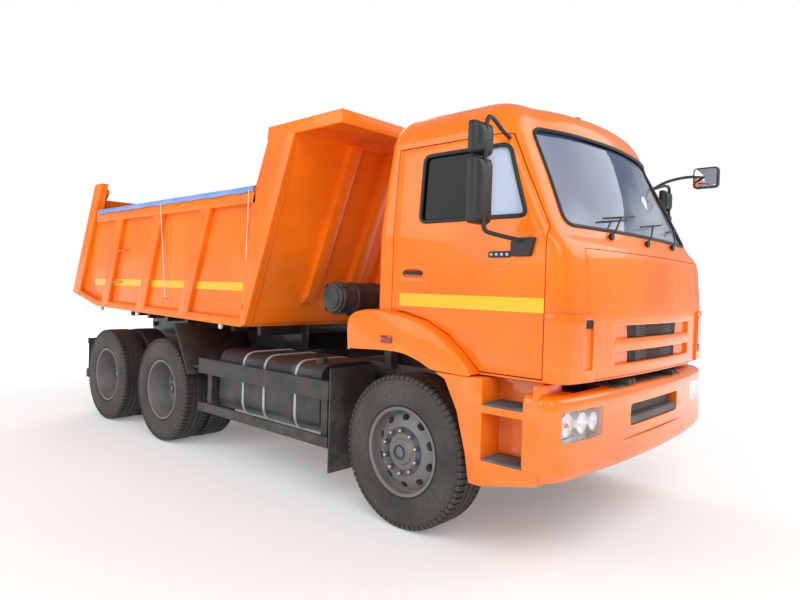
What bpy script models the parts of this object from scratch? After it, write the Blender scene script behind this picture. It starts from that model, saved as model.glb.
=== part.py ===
"""Three-axle dump truck: cab over engine, twin rear wheels, tipping bed under a cover sheet.

Lengths are in metres. The truck stands on z = 0 and faces -Y, with +X to its left.
Sizes below count y from the front axle; the empty "truck" moves all of it so that
the origin lies under the middle of the whole length.
"""

from math import atan2, cos, hypot, pi, radians, sin

import bmesh
import bpy
from mathutils import Vector

# Fits
GAP = 0.0003
CLEAR = 0.006
BITE = 0.004
OVERRUN = 0.3

# Overall
NOSE_Y = -1.245
TAIL_Y = 5.54
WIDTH = 2.49

# Wheels and axles
AXLE_2_Y = 3.19
AXLE_3_Y = 4.51
SEGMENTS = 20
PIN_SIDES = 14
TYRE_RADIUS = 0.515
TYRE_WIDTH = 0.279
SEAT_RADIUS = 0.2855
FLANGE_RADIUS = 0.299
FLANGE_T = 0.012
RIM_WIDTH = 0.25
RIM_T = 0.012
DISC_T = 0.016
BOLT_FACE_RADIUS = 0.175
HUB_RADIUS = 0.085
HUB_REACH = 0.03
FRONT_DISC_REACH = 0.105
DRUM_RADIUS = 0.205
BORE_RADIUS = 0.045
FRONT_TRACK_HALF = 1.0215
REAR_TRACK_HALF = 0.945
TWIN_HALF = 0.156
REAR_HUB_REACH = 0.17
REAR_DRUM_REACH = 0.24

# Front axle and steering
KINGPIN_X = 0.86
KINGPIN_RADIUS = 0.02
EYE_RADIUS = 0.045
EYE_HALF = 0.06
EAR_T = 0.06
BEAM_HALF = 0.05
BEAM_DROP = 0.155
BEAM_HEIGHT = 0.1
SPINDLE_FACE = 0.05
SPINDLE_PLATE_T = 0.022
ARM_LENGTH = 0.185
ARM_HALF = 0.015
ARM_T = 0.035
TIE_RADIUS = 0.017

# Frame
RAIL_HALF = 0.4325
RAIL_TOP = 0.96
RAIL_HEIGHT = 0.26
RAIL_FLANGE = 0.078
RAIL_T = 0.009
FRAME_FRONT = -1.02
FRAME_REAR = 5.05
MEMBER_T = 0.07
MEMBER_DROP = 0.03
MEMBER_PLACES_SHARE = (0.012, 0.405, 0.545, 0.79)
BALANCER_RADIUS = 0.06
BALANCER_Z = 0.6
BALANCER_HALF = 0.56

# Springs
SPRING_WIDTH = 0.075
FRONT_SPRING_HALF = 0.72
FRONT_SPRING_T = 0.09
LEAF_T = 0.024
SPRING_EYE = 0.03
REAR_SPRING_X = 0.505
REAR_SPRING_WIDTH = 0.09
REAR_SPRING_T = 0.15
AXLE_TUBE = 0.075
AXLE_PAD = 0.03
DIFF_RADIUS = 0.2
DIFF_HALF = 0.15

# Engine
ENGINE_HALF = 0.27
ENGINE_FRONT = -0.85
ENGINE_REAR = 0.35
ENGINE_LOW = 0.55
ENGINE_TOP = 1.06
GEARBOX_HALF = 0.2
GEARBOX_REAR = 1.2
GEARBOX_LOW = 0.5
GEARBOX_TOP = 0.86
SHAFT_RADIUS = 0.035
SHAFT_DROP = 0.04
FLANGE_HALF = 0.07

# Cab
CAB_HALF = 1.15
CAB_TOP_HALF = 1.1
CAB_REAR = 0.265
CAB_TOP_REAR = 0.21
CAB_BOTTOM = 1.105
CAB_FLOOR = 1.19
FLOOR_STEP_Y = -0.4
WAIST_Z = 1.5
BELT_Z = 1.86
COWL_Z = 1.95
SEAM_Z = 2.576
ROOF_Z = 2.805
CAB_WALL = 0.04
BELT_FRONT = -1.205
COWL_FRONT = -1.15
SEAM_FRONT = -0.925
SWEEP = 0.06
CORNER_DEPTH = 0.09
CORNER_RADIUS = 0.06

# Windshield and door
SCREEN_HALF = 0.945
SCREEN_LOW = 2.0
SCREEN_TOP = 2.572
GLASS_T = 0.007
GLASS_INSET = 0.014
DOOR_FRONT = -1.035
DOOR_REAR = 0.115
DOOR_TOP = 2.53
DOOR_LOW = 1.118
DOOR_LEAN_Z = 1.96
DOOR_TOP_FRONT = -0.775
WINDOW_LOW = 2.03
WINDOW_TOP = 2.46
WINDOW_REAR = -0.115
WINDOW_FRONT = -0.905
WINDOW_TOP_FRONT = -0.775
WINDOW_RADIUS = 0.04
HINGE_RADIUS = 0.007
HINGE_HALF = 0.03
HINGE_LOW_SHARE = 0.25
HINGE_TOP_SHARE = 0.85

# Wheel arches
ARCH_HALF = 1.245
ARCH_ROOT = 1.125
ARCH_REAR = 0.46
ARCH_TOP = 1.456
ARCH_INNER_TOP = 1.187
ARCH_LOW = 0.467
ARCH_LOW_Y = -0.61
ARCH_SHEET_X = 0.78
ARCH_SHEET_T = 0.02

# Bumper and step panels
BUMPER_TOP = 1.04
BUMPER_SHOULDER = 0.97
BUMPER_LOW = 0.6
BUMPER_WALL = 0.05
BUMPER_HALF = 1.225
STEP_REAR = -0.69
STEP_FRONT = -1.05
STEP_LOW = 0.547
STEP_TOP = 1.093
STEP_INNER = 0.96
STEP_DEPTH = 0.2
TREAD_T = 0.035
UPPER_TREAD_Z = 0.94
LOWER_TREAD_Z = 0.62
LAMP_OUTER = 1.16
LAMP_INNER = 0.86
LAMP_LOW = 0.79
LAMP_TOP = 0.96
LAMP_DEPTH = 0.12
SLOT_HALF = 0.39
SLOT_LOW = 0.815
SLOT_TOP = 0.9
SLOT_DEPTH = 0.04

# Cab hinge
CAB_PIVOT_Y = -1.21
CAB_PIVOT_Z = 1.065
CAB_PIVOT_X = 0.38
LUG_T = 0.03
LUG_RADIUS = 0.019
PIN_RADIUS = 0.01

# Cab inside
DASH_DEPTH = 0.42
DASH_LOW = 1.5
DASH_TOP = 1.9
WHEEL_X = 0.55
WHEEL_Y = -0.6
WHEEL_Z = 1.9
WHEEL_RADIUS = 0.23
WHEEL_RIM = 0.016
SEAT_X = 0.6
SEAT_HALF = 0.25
SEAT_FRONT = -0.5
SEAT_BACK_Y = 0.0
SEAT_TOP = 1.62
BACKREST_TOP = 2.3
CUSHION_T = 0.14

# Mirrors
MIRROR_X = 1.4
MIRROR_Y = -0.78
MIRROR_HALF = 0.095
MIRROR_LOW = 1.95
MIRROR_TOP = 2.33
MIRROR_T = 0.07
SMALL_MIRROR_TOP = 2.55
SMALL_MIRROR_LOW = 2.35
MIRROR_TUBE = 0.014
MIRROR_FOOT_Z = 1.88
MIRROR_FOOT_Y = -0.95
MIRROR_FOOT_HALF = 0.075
MIRROR_FOOT_T = 0.03

# Bed
BED_HALF = 1.245
BED_FRONT = 1.785
BED_LOW = 1.233
BED_RISE_Y = 4.81
BED_RISE_Z = 1.286
TAIL_LOW = 1.432
TAIL_TOP = 2.7
TAIL_TOP_Y = 4.9
POST_TOP_Y = 4.7
RAIL_Z = 2.4
BED_RAIL_HEIGHT = 0.13
BED_RAIL_X = 1.15
BED_RAIL_FRONT = 1.6
PANEL_X = 1.2
BED_INNER = 1.17
HEAD_TOP_Y = 1.097
CANOPY_LOW = 2.765
CANOPY_TOP = 2.862
CANOPY_FRONT = 0.555
CANOPY_REAR = 1.437
CANOPY_LIP = 0.03
CANOPY_SKIN = 0.012
FLOOR_T = 0.07
HEAD_T = 0.05
RIB_TOP_FRONT = 2.3
RIB_PITCH = 0.906
RIB_WIDTH = 0.17
RIB_LEAN = 0.39
POST_WIDTH = 0.2
SILL_HEIGHT = 0.07
HEAD_RIB_X_SHARE = (-0.52, -0.15, 0.15, 0.52)
HEAD_RIB_HALF = 0.06
HEAD_RIB_DEPTH = 0.08
BEARER_X = 0.4
BEARER_HALF = 0.04
BEARER_FRONT = 1.95
BEARER_REAR = 4.95
BED_PIVOT_Y = 4.95
BED_PIVOT_Z = 1.05
BED_PIN_RADIUS = 0.03
BED_EAR_T = 0.05
BED_EAR_RADIUS = 0.07

# Tailgate
GATE_INSET = 0.02
GATE_T = 0.07
GATE_LOW = 1.42
GATE_TOP = 2.55
GATE_PIVOT_Y = 4.815
GATE_PIVOT_Z = 2.63
GATE_ARM_T = 0.04
GATE_ARM_RADIUS = 0.045
GATE_PIN_RADIUS = 0.018

# Cover sheet
SHEET_T = 0.018
SHEET_DROP = 0.085
SHEET_CROWN = 0.1
SHEET_EDGE_X = 1.05

# Hoist
HOIST_Y = 2.75
HOIST_Z = 0.92
HOIST_LOW = 0.58
HOIST_TOP = 1.135
HOIST_EYE_Z = 1.185
HOIST_EYE_RADIUS = 0.04
HOIST_EYE_HALF = 0.04
STAGE_RADII = (0.095, 0.08, 0.066, 0.052, 0.038)
STAGE_WALL = 0.012
STAGE_LIP = 0.006
TRUNNION_RADIUS = 0.025
TRUNNION_HALF = 0.34
BEARING_HALF = 0.06
BEARING_INNER = 0.3

# Side equipment
GUARD_X = 1.2
GUARD_T = 0.03
GUARD_FRONT = 0.68
GUARD_REAR = 2.52
UPPER_GUARD_LOW = 0.76
UPPER_GUARD_TOP = 0.9
LOWER_GUARD_LOW = 0.41
LOWER_GUARD_TOP = 0.49
GUARD_POST_FRONT = 0.75
GUARD_POST_REAR = 2.36
GUARD_POST_HALF = 0.035
OUTRIGGER_HALF = 0.03
FLAP_Y = 0.655
FLAP_T = 0.014
FLAP_LOW = 0.231
FLAP_TOP = 1.0
FLAP_INNER = 0.75
PLATE_LOW_Y = 2.67
PLATE_LOW_Z = 0.728
PLATE_TOP_Y = 2.96
PLATE_TOP_Z = 1.195
PLATE_T = 0.02
TANK_FRONT = 0.86
TANK_REAR = 2.28
TANK_OUTER = 1.12
TANK_INNER = 0.52
TANK_LOW = 0.45
TANK_TOP = 1.0
TANK_RADIUS = 0.13
STRAP_HALF = 0.025
STRAP_T = 0.008
STRAP_PLACES_SHARE = (0.15, 0.5, 0.85)
BOX_FRONT = 0.86
BOX_REAR = 1.45
AIR_TANK_RADIUS = 0.12
AIR_TANK_REAR = 2.28
FILTER_Y = 0.75
FILTER_Z = 1.515
FILTER_RADIUS = 0.125
FILTER_OUTER = 1.14
FILTER_INNER = 0.5
FILTER_POST_HALF = 0.04
UNDERRUN_Y = 5.16
UNDERRUN_HALF = 1.18
UNDERRUN_LOW = 0.4
UNDERRUN_HEIGHT = 0.1
UNDERRUN_T = 0.07
FLAP_BAR_Z = 0.88
REAR_FLAP_LOW = 0.5
REAR_FLAP_INNER = 0.66

ORANGE = (0.9, 0.235, 0.02)
DARK = (0.035, 0.036, 0.04)
RUBBER = (0.025, 0.024, 0.023)
STEEL = (0.3, 0.3, 0.31)

SIDES = (("right", -1), ("left", 1))


# Blender helpers

def finish(obj, colour, roughness, metallic):
    """Gives an object its own Principled material."""
    material = bpy.data.materials.new(obj.name)
    material.use_nodes = True
    shader = material.node_tree.nodes["Principled BSDF"]
    shader.inputs["Base Color"].default_value = (*colour, 1)
    shader.inputs["Roughness"].default_value = roughness
    shader.inputs["Metallic"].default_value = metallic
    if not obj.material_slots:
        obj.data.materials.append(None)
    obj.material_slots[0].link = "OBJECT"
    obj.material_slots[0].material = material


def held_at(empty):
    """Where an empty lies, counted like the sizes above."""
    place = Vector()
    while empty is not None and empty.name != "truck":
        place += empty.location
        empty = empty.parent
    return place


def pivot(name, place, carrier):
    """An empty on a joint's axis, parented to the body that carries the joint."""
    empty = bpy.data.objects.new(name, None)
    bpy.context.scene.collection.objects.link(empty)
    empty.parent = carrier
    empty.location = Vector(place) - held_at(carrier)
    return empty


def mesh_of(name, bm):
    """Turns a bmesh into a mesh whose faces point out."""
    bmesh.ops.recalc_face_normals(bm, faces=bm.faces)
    mesh = bpy.data.meshes.new(name)
    bm.to_mesh(mesh)
    bm.free()
    return mesh


def shown(name, mesh, carrier, place=None):
    """Links a mesh as an object; its own origin is at place, or at the front axle."""
    obj = bpy.data.objects.new(name, mesh)
    bpy.context.scene.collection.objects.link(obj)
    obj.parent = carrier
    obj.location = (Vector(place) if place else Vector()) - held_at(carrier)
    return obj


def helper_group(name, shapes, carrier):
    """Hides shapes in a collection that a Boolean modifier uses."""
    group = bpy.data.collections.new(name)
    bpy.context.scene.collection.children.link(group)
    for number, bm in enumerate(shapes):
        obj = bpy.data.objects.new(f"{name}_{number}", mesh_of(name, bm))
        obj.parent = carrier
        obj.location = -held_at(carrier)
        obj.hide_render = True
        obj.display_type = "WIRE"
        group.objects.link(obj)
    return group


def piece(name, start, carrier, steps=(), colour=DARK, roughness=0.5, metallic=0.0, smooth=35):
    """Makes a sub-part from a first shape and Boolean steps of (operation, shapes)."""
    obj = shown(name, mesh_of(name, start), carrier)
    for number, (operation, shapes) in enumerate(steps):
        if operation == "INTERSECT":
            for index, shape in enumerate(shapes):
                group = helper_group(f"{name}_keep_{number}_{index}", [shape], carrier)
                boolean(obj, operation, group)
        elif shapes:
            group = helper_group(f"{name}_{operation.lower()}_{number}", shapes, carrier)
            boolean(obj, operation, group)
    finish(obj, colour, roughness, metallic)
    rounded_look(obj, smooth)
    return obj


def boolean(obj, operation, group):
    modifier = obj.modifiers.new(operation.title(), "BOOLEAN")
    modifier.operation = operation
    modifier.solver = "EXACT"
    modifier.operand_type = "COLLECTION"
    modifier.collection = group


def rounded_look(obj, degrees):
    obj.data.shade_smooth()
    obj.data.set_sharp_from_angle(angle=radians(degrees))


# Shapes

def along(axis, a, b, depth):
    """A point from two coordinates across an axis and one along it."""
    return {"X": (depth, a, b), "Y": (a, depth, b), "Z": (a, b, depth)}[axis]


def prism(outline, axis, low, high, bevel=0, steps=2):
    """Extrudes an outline along an axis; bevel rounds the edges of the far face."""
    bm = bmesh.new()
    near = [bm.verts.new(along(axis, a, b, low)) for a, b in outline]
    far = [bm.verts.new(along(axis, a, b, high)) for a, b in outline]
    bm.faces.new(near)
    cap = bm.faces.new(far)
    bridge(bm, near, far)
    if bevel:
        bmesh.ops.bevel(bm, geom=list(cap.edges), offset=bevel, segments=steps, affect="EDGES",
                        profile=0.5, clamp_overlap=True)
    return bm


def bridge(bm, ring, other):
    """Joins two rings of equal length, or a ring and a single point."""
    if len(ring) == 1 and len(other) == 1:
        return
    count = max(len(ring), len(other))
    for i in range(count):
        j = (i + 1) % count
        corners = []
        for point in (ring[i % len(ring)], ring[j % len(ring)],
                      other[j % len(other)], other[i % len(other)]):
            if point not in corners:
                corners.append(point)
        bm.faces.new(corners)


def box(low, high):
    """A block between two opposite corners, in any order."""
    (x0, y0, z0), (x1, y1, z1) = low, high
    return prism([(y0, z0), (y1, z0), (y1, z1), (y0, z1)], "X", x0, x1)


def turned(outline, closed=False, sides=SEGMENTS, axis="X", place=(0, 0, 0)):
    """Turns an outline of (along, radius) points round an axis."""
    bm = bmesh.new()
    rings = []
    for depth, radius in outline:
        turns = [0] if radius == 0 else [2 * pi * i / sides for i in range(sides)]
        points = [Vector(along(axis, radius * sin(t), -radius * cos(t), depth)) for t in turns]
        rings.append([bm.verts.new(point + Vector(place)) for point in points])
    followers = rings[1:] + ([rings[0]] if closed else [])
    for ring, other in zip(rings, followers):
        bridge(bm, ring, other)
    return bm


def cylinder(axis, place, radius, low, high, sides=PIN_SIDES):
    """A round bar along an axis, centred on place across it."""
    centre = along(axis, *[c for c, name in zip(place, "XYZ") if name != axis], 0)
    return turned([(low, 0), (low, radius), (high, radius), (high, 0)], False, sides, axis, centre)


def bar(start, end, radius, sides=6):
    """A round bar between two points."""
    start, end = Vector(start), Vector(end)
    turn = (end - start).to_track_quat("Z", "Y")
    bm = turned([(0, 0), (0, radius), ((end - start).length, radius), ((end - start).length, 0)],
                False, sides, "Z")
    for vert in bm.verts:
        vert.co = start + turn @ vert.co
    return bm


def loft(rings):
    """Joins rings of points into one closed body with flat ends."""
    bm = bmesh.new()
    loops = [[bm.verts.new(point) for point in ring] for ring in rings]
    bm.faces.new(loops[0])
    bm.faces.new(loops[-1])
    for loop, other in zip(loops, loops[1:]):
        bridge(bm, loop, other)
    return bm


def bore(radius, sides=PIN_SIDES):
    """Radius of a faceted hole whose flats clear a round pin at any turn."""
    return (radius + GAP) / cos(pi / sides)


def spindle_radius():
    """Radius of a spindle that turns freely in a wheel's faceted bore."""
    return BORE_RADIUS * cos(pi / SEGMENTS) - GAP


def arc(centre, radius, first, last, steps):
    """Points of an arc, with its angles in degrees."""
    turns = [radians(first + (last - first) * i / steps) for i in range(steps + 1)]
    return [(centre[0] + radius * cos(t), centre[1] + radius * sin(t)) for t in turns]


def rounded(outline, radius, steps=2):
    """Rounds each corner of an outline with a curve that leaves its sides at radius."""
    points = []
    count = len(outline)
    for i in range(count):
        before, corner, after = (Vector(outline[(i + k) % count]) for k in (-1, 0, 1))
        first = corner + (before - corner).normalized() * radius
        last = corner + (after - corner).normalized() * radius
        for k in range(steps + 1):
            t = k / steps
            points.append(tuple(first * (1 - t) ** 2 + corner * 2 * t * (1 - t) + last * t ** 2))
    return points


def mirrored(outline):
    """An outline's half at a >= 0 with its mirror image, as one closed outline."""
    other = [(-a, b) for a, b in reversed(outline) if a != 0]
    return outline + other


def line_at(z, low, high):
    """The y of the line through two (y, z) points, at a height."""
    return low[0] + (high[0] - low[0]) * (z - low[1]) / (high[1] - low[1])


# Wheels

def tyre_outline():
    """Section of a tyre on its seat, as (along, radius)."""
    half = TYRE_WIDTH / 2
    bead = RIM_WIDTH / 2 - FLANGE_T - GAP
    low = SEAT_RADIUS + GAP
    height = TYRE_RADIUS - low
    side_shares = ((1.0, 0.5), (0.93, 0.9), (0.74, 1.0))
    right = [(bead, low), (bead, FLANGE_RADIUS + GAP)]
    right += [(half * a, low + height * b) for a, b in side_shares]
    return right + [(-a, b) for a, b in reversed(right)]


def rim_shell(outer, inner):
    """A rim's section from its outer flange over the tyre's seat to its inner flange."""
    well = SEAT_RADIUS - RIM_T
    return [(outer, well), (outer, FLANGE_RADIUS), (outer - FLANGE_T, SEAT_RADIUS),
            (inner + FLANGE_T, SEAT_RADIUS), (inner, FLANGE_RADIUS)]


def front_rim_outline():
    """Convex front wheel with hub and brake drum, as (outward, radius)."""
    half = RIM_WIDTH / 2
    face = FRONT_DISC_REACH
    back = KINGPIN_X + SPINDLE_FACE + SPINDLE_PLATE_T + CLEAR - FRONT_TRACK_HALF
    return [(face + HUB_REACH, 0), (face + HUB_REACH, HUB_RADIUS), (face, HUB_RADIUS),
            (face, BOLT_FACE_RADIUS), (face - DISC_T * 3, SEAT_RADIUS - RIM_T)] + rim_shell(half, -half) + [
            (-half, SEAT_RADIUS - RIM_T), (back, DRUM_RADIUS), (back, BORE_RADIUS), (DISC_T, BORE_RADIUS),
            (DISC_T, 0)]


def twin_rim_outline():
    """Two rims bolted disc to disc, with the hub outside and the drum inside."""
    half = RIM_WIDTH / 2
    well = SEAT_RADIUS - RIM_T
    outer = TWIN_HALF + half
    gap_side = TWIN_HALF - half
    right = [(REAR_HUB_REACH, 0), (REAR_HUB_REACH, HUB_RADIUS), (DISC_T, HUB_RADIUS + HUB_REACH),
             (DISC_T, BOLT_FACE_RADIUS), (gap_side + FLANGE_T * 2, well)]
    right += rim_shell(outer, gap_side) + [(0, well - DISC_T)]
    left = [(-a, b) for a, b in reversed(rim_shell(outer, gap_side))]
    drum = [(-REAR_DRUM_REACH, DRUM_RADIUS), (-REAR_DRUM_REACH, BORE_RADIUS),
            (-DISC_T, BORE_RADIUS), (-DISC_T, 0)]
    return right + left + [(-gap_side - FLANGE_T * 2, DRUM_RADIUS)] + drum


def wheel_part(name, mesh, carrier, place, side, colour, roughness, metallic):
    """A wheel's ring or rim; on the right side it is turned half round."""
    obj = shown(name, mesh, carrier, place)
    if side < 0:
        obj.rotation_euler.z = pi
    finish(obj, colour, roughness, metallic)
    rounded_look(obj, 35)
    return obj


def build_wheels(truck, knuckles):
    tyre = mesh_of("tyre", turned(tyre_outline(), True))
    front_rim = mesh_of("front_rim", turned(front_rim_outline()))
    twin_rim = mesh_of("twin_rim", turned(twin_rim_outline()))
    for side_name, side in SIDES:
        centre = (side * FRONT_TRACK_HALF, 0, TYRE_RADIUS)
        axle = pivot(f"front_axis_{side_name}", centre, knuckles[side_name])
        wheel_part(f"tyre_front_{side_name}", tyre, axle, centre, side, RUBBER, 0.85, 0)
        wheel_part(f"rim_front_{side_name}", front_rim, axle, centre, side, STEEL, 0.45, 0.3)
        for number, axle_y in ((2, AXLE_2_Y), (3, AXLE_3_Y)):
            centre = (side * REAR_TRACK_HALF, axle_y, TYRE_RADIUS)
            axle = pivot(f"rear_axis_{number}_{side_name}", centre, truck)
            label = f"{number}_{side_name}"
            wheel_part(f"rims_{label}", twin_rim, axle, centre, side, STEEL, 0.5, 0.3)
            for where, step in (("outer", TWIN_HALF), ("inner", -TWIN_HALF)):
                place = (side * (REAR_TRACK_HALF + step), axle_y, TYRE_RADIUS)
                wheel_part(f"tyre_{label}_{where}", tyre, axle, place, side, RUBBER, 0.85, 0)


# Front axle and steering

def build_front_axle(truck):
    low = TYRE_RADIUS - BEAM_DROP
    seat = TYRE_RADIUS + BEAM_HALF - GAP
    spring_x = RAIL_HALF - RAIL_FLANGE / 2
    pad = SPRING_WIDTH
    half = [(0, low), (spring_x - pad, low), (spring_x + pad, TYRE_RADIUS - BEAM_HEIGHT),
            (KINGPIN_X - EYE_RADIUS - CLEAR, TYRE_RADIUS - EYE_HALF), (KINGPIN_X, TYRE_RADIUS - EYE_HALF),
            (KINGPIN_X, TYRE_RADIUS + EYE_HALF), (KINGPIN_X - EYE_RADIUS - CLEAR, TYRE_RADIUS + EYE_HALF),
            (spring_x + pad, seat), (spring_x - pad, seat), (spring_x - pad * 1.5, low + BEAM_HEIGHT),
            (0, low + BEAM_HEIGHT)]
    joined = []
    for _, side in SIDES:
        place = (side * KINGPIN_X, 0, 0)
        joined.append(cylinder("Z", place, EYE_RADIUS, TYRE_RADIUS - EYE_HALF - GAP,
                               TYRE_RADIUS + EYE_HALF + GAP))
        joined.append(cylinder("Z", place, KINGPIN_RADIUS, TYRE_RADIUS - EYE_HALF - EAR_T,
                               TYRE_RADIUS + EYE_HALF + EAR_T))
    piece("front_axle", prism(mirrored(half), "Y", -EYE_RADIUS * 0.8, EYE_RADIUS * 0.8), truck,
          [("UNION", joined)], DARK, 0.6, 0.2)


def build_knuckle(side_name, side, carrier):
    """A yoke round the axle's eye, with the spindle outside and the steering arm behind."""
    x = side * KINGPIN_X
    face = side * (KINGPIN_X + SPINDLE_FACE)
    back = side * (KINGPIN_X + SPINDLE_FACE + SPINDLE_PLATE_T)
    eye = EYE_HALF + 3 * GAP
    ears = [cylinder("Z", (x, 0, 0), EYE_RADIUS, TYRE_RADIUS + low, TYRE_RADIUS + high)
            for low, high in ((eye, EYE_HALF + EAR_T), (-EYE_HALF - EAR_T, -eye))]
    webs = [box((x, -EYE_RADIUS, TYRE_RADIUS + low), (back, EYE_RADIUS, TYRE_RADIUS + high))
            for low, high in ((eye, EYE_HALF + EAR_T), (-EYE_HALF - EAR_T, -eye))]
    spindle = cylinder("X", (0, 0, TYRE_RADIUS), spindle_radius(), face, side * FRONT_TRACK_HALF,
                       SEGMENTS // 2)
    arm_low = TYRE_RADIUS - EYE_HALF - EAR_T
    arm = box((x - ARM_HALF, 0, arm_low), (x + ARM_HALF, ARM_LENGTH + ARM_HALF, arm_low + ARM_T))
    hole = cylinder("Z", (x, 0, 0), bore(KINGPIN_RADIUS), arm_low - OVERRUN,
                    TYRE_RADIUS + OVERRUN)
    plate = box((face, -EYE_RADIUS, arm_low), (back, EYE_RADIUS, TYRE_RADIUS + EYE_HALF + EAR_T))
    piece(f"knuckle_{side_name}", plate, carrier,
          [("UNION", ears + webs + [spindle, arm]), ("DIFFERENCE", [hole])], DARK, 0.55, 0.4)


def build_steering(truck):
    knuckles = {}
    for side_name, side in SIDES:
        place = (side * KINGPIN_X, 0, TYRE_RADIUS)
        knuckles[side_name] = pivot(f"kingpin_{side_name}", place, truck)
        build_knuckle(side_name, side, knuckles[side_name])
    arm_top = TYRE_RADIUS - EYE_HALF - EAR_T + ARM_T
    tie_z = arm_top + GAP + TIE_RADIUS
    ends = [cylinder("Z", (side * KINGPIN_X, ARM_LENGTH, 0), TIE_RADIUS * 1.3, arm_top + GAP,
                     arm_top + GAP + 2 * TIE_RADIUS) for _, side in SIDES]
    piece("tie_rod", cylinder("X", (0, ARM_LENGTH, tie_z), TIE_RADIUS * 0.9, -KINGPIN_X, KINGPIN_X),
          truck, [("UNION", ends)], DARK, 0.5, 0.5)
    return knuckles


# Frame, springs and rear axles

def rail_outline(side):
    """Channel section of a frame rail, open inwards, as (x, z)."""
    low = RAIL_TOP - RAIL_HEIGHT
    outer, web = side * RAIL_HALF, side * (RAIL_HALF - RAIL_T)
    tip = side * (RAIL_HALF - RAIL_FLANGE)
    return [(outer, low), (tip, low), (tip, low + RAIL_T), (web, low + RAIL_T),
            (web, RAIL_TOP - RAIL_T), (tip, RAIL_TOP - RAIL_T), (tip, RAIL_TOP), (outer, RAIL_TOP)]


def cab_ear(side, place):
    """Plate that carries the cab's hinge pin ahead of a rail."""
    x = side * place
    rear = FRAME_FRONT + MEMBER_T
    outline = arc((CAB_PIVOT_Y, CAB_PIVOT_Z), LUG_RADIUS, 90, 270, 6)
    outline += [(FRAME_FRONT, CAB_PIVOT_Z - LUG_RADIUS), (FRAME_FRONT, RAIL_TOP - RAIL_HEIGHT / 2),
                (rear, RAIL_TOP - RAIL_HEIGHT / 2), (rear, CAB_PIVOT_Z + LUG_RADIUS)]
    return prism(outline, "X", x, x + side * LUG_T)


def build_frame(truck):
    joined = [prism(rail_outline(-1), "Y", FRAME_FRONT, FRAME_REAR)]
    length = FRAME_REAR - FRAME_FRONT
    low = RAIL_TOP - RAIL_HEIGHT + MEMBER_DROP
    inside = RAIL_HALF - RAIL_T / 2
    for share in MEMBER_PLACES_SHARE + (1 - MEMBER_T / length,):
        y = FRAME_FRONT + length * share
        joined.append(box((-inside, y, low), (inside, y + MEMBER_T, RAIL_TOP - MEMBER_DROP)))
    joined += balancer_shapes() + hinge_shapes()
    bearings, bores = bearing_shapes()
    piece("frame", prism(rail_outline(1), "Y", FRAME_FRONT, FRAME_REAR), truck,
          [("UNION", joined + bearings), ("DIFFERENCE", bores)], DARK, 0.6, 0.2)


def balancer_shapes():
    """Cross tube between the rear axles, with its brackets up to the rails."""
    middle = (AXLE_2_Y + AXLE_3_Y) / 2
    shapes = [cylinder("X", (0, middle, BALANCER_Z), BALANCER_RADIUS, -BALANCER_HALF, BALANCER_HALF)]
    for _, side in SIDES:
        shapes.append(box((side * RAIL_HALF, middle - BALANCER_RADIUS * 2, BALANCER_Z),
                          (side * (RAIL_HALF - RAIL_FLANGE), middle + BALANCER_RADIUS * 2,
                           RAIL_TOP - RAIL_HEIGHT + BITE)))
    return shapes


def hinge_shapes():
    """Ears and pins of the cab's hinge in front and of the bed's hinge at the rear."""
    shapes = []
    for _, side in SIDES:
        inner = CAB_PIVOT_X - LUG_T / 2 - GAP - LUG_T
        shapes += [cab_ear(side, inner), cab_ear(side, CAB_PIVOT_X + LUG_T / 2 + GAP)]
        shapes.append(cylinder("X", (0, CAB_PIVOT_Y, CAB_PIVOT_Z), PIN_RADIUS,
                               side * (inner + BITE), side * (CAB_PIVOT_X + LUG_T)))
        ear = BEARER_X - BEARER_HALF - GAP
        outline = arc((BED_PIVOT_Y, BED_PIVOT_Z), BED_EAR_RADIUS, 0, 180, 8)
        outline += [(BED_PIVOT_Y - BED_EAR_RADIUS, RAIL_TOP - RAIL_HEIGHT / 2),
                    (BED_PIVOT_Y + BED_EAR_RADIUS, RAIL_TOP - RAIL_HEIGHT / 2)]
        shapes.append(prism(outline, "X", side * ear, side * (ear - BED_EAR_T)))
        shapes.append(cylinder("X", (0, BED_PIVOT_Y, BED_PIVOT_Z), BED_PIN_RADIUS, side * (ear - BED_EAR_T / 2),
                               side * (BEARER_X + BEARER_HALF + MEMBER_DROP)))
    return shapes


def bearing_shapes():
    """Blocks on the rails that hold the hoist's trunnion pins, and their bores."""
    blocks, bores = [], []
    for _, side in SIDES:
        blocks.append(box((side * BEARING_INNER, HOIST_Y - BEARING_HALF, HOIST_Z - BEARING_HALF),
                          (side * (RAIL_HALF - RAIL_T / 2), HOIST_Y + BEARING_HALF,
                           RAIL_TOP - RAIL_T - BITE)))
        bores.append(cylinder("X", (0, HOIST_Y, HOIST_Z), bore(TRUNNION_RADIUS),
                              side * (BEARING_INNER - BITE), side * (TRUNNION_HALF + BITE)))
    return blocks, bores


def front_spring_outline(eye_z):
    """Leaf pack on the axle's pad whose ends rise to the eyes under the rail."""
    low = TYRE_RADIUS + BEAM_HALF
    rise = eye_z - SPRING_EYE / 2 - low
    under_shares = ((0.1, 0.0), (0.3, 0.07), (0.62, 0.38), (1.0, 1.0))
    top_shares = ((1.0, 0.0), (0.5, 0.72), (0.1, 1.0))
    half = [(FRONT_SPRING_HALF * a, low + rise * b) for a, b in under_shares]
    half += [(FRONT_SPRING_HALF * a, low + rise + LEAF_T - (rise + LEAF_T - FRONT_SPRING_T) * b)
             for a, b in top_shares]
    return mirrored(half)


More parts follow.
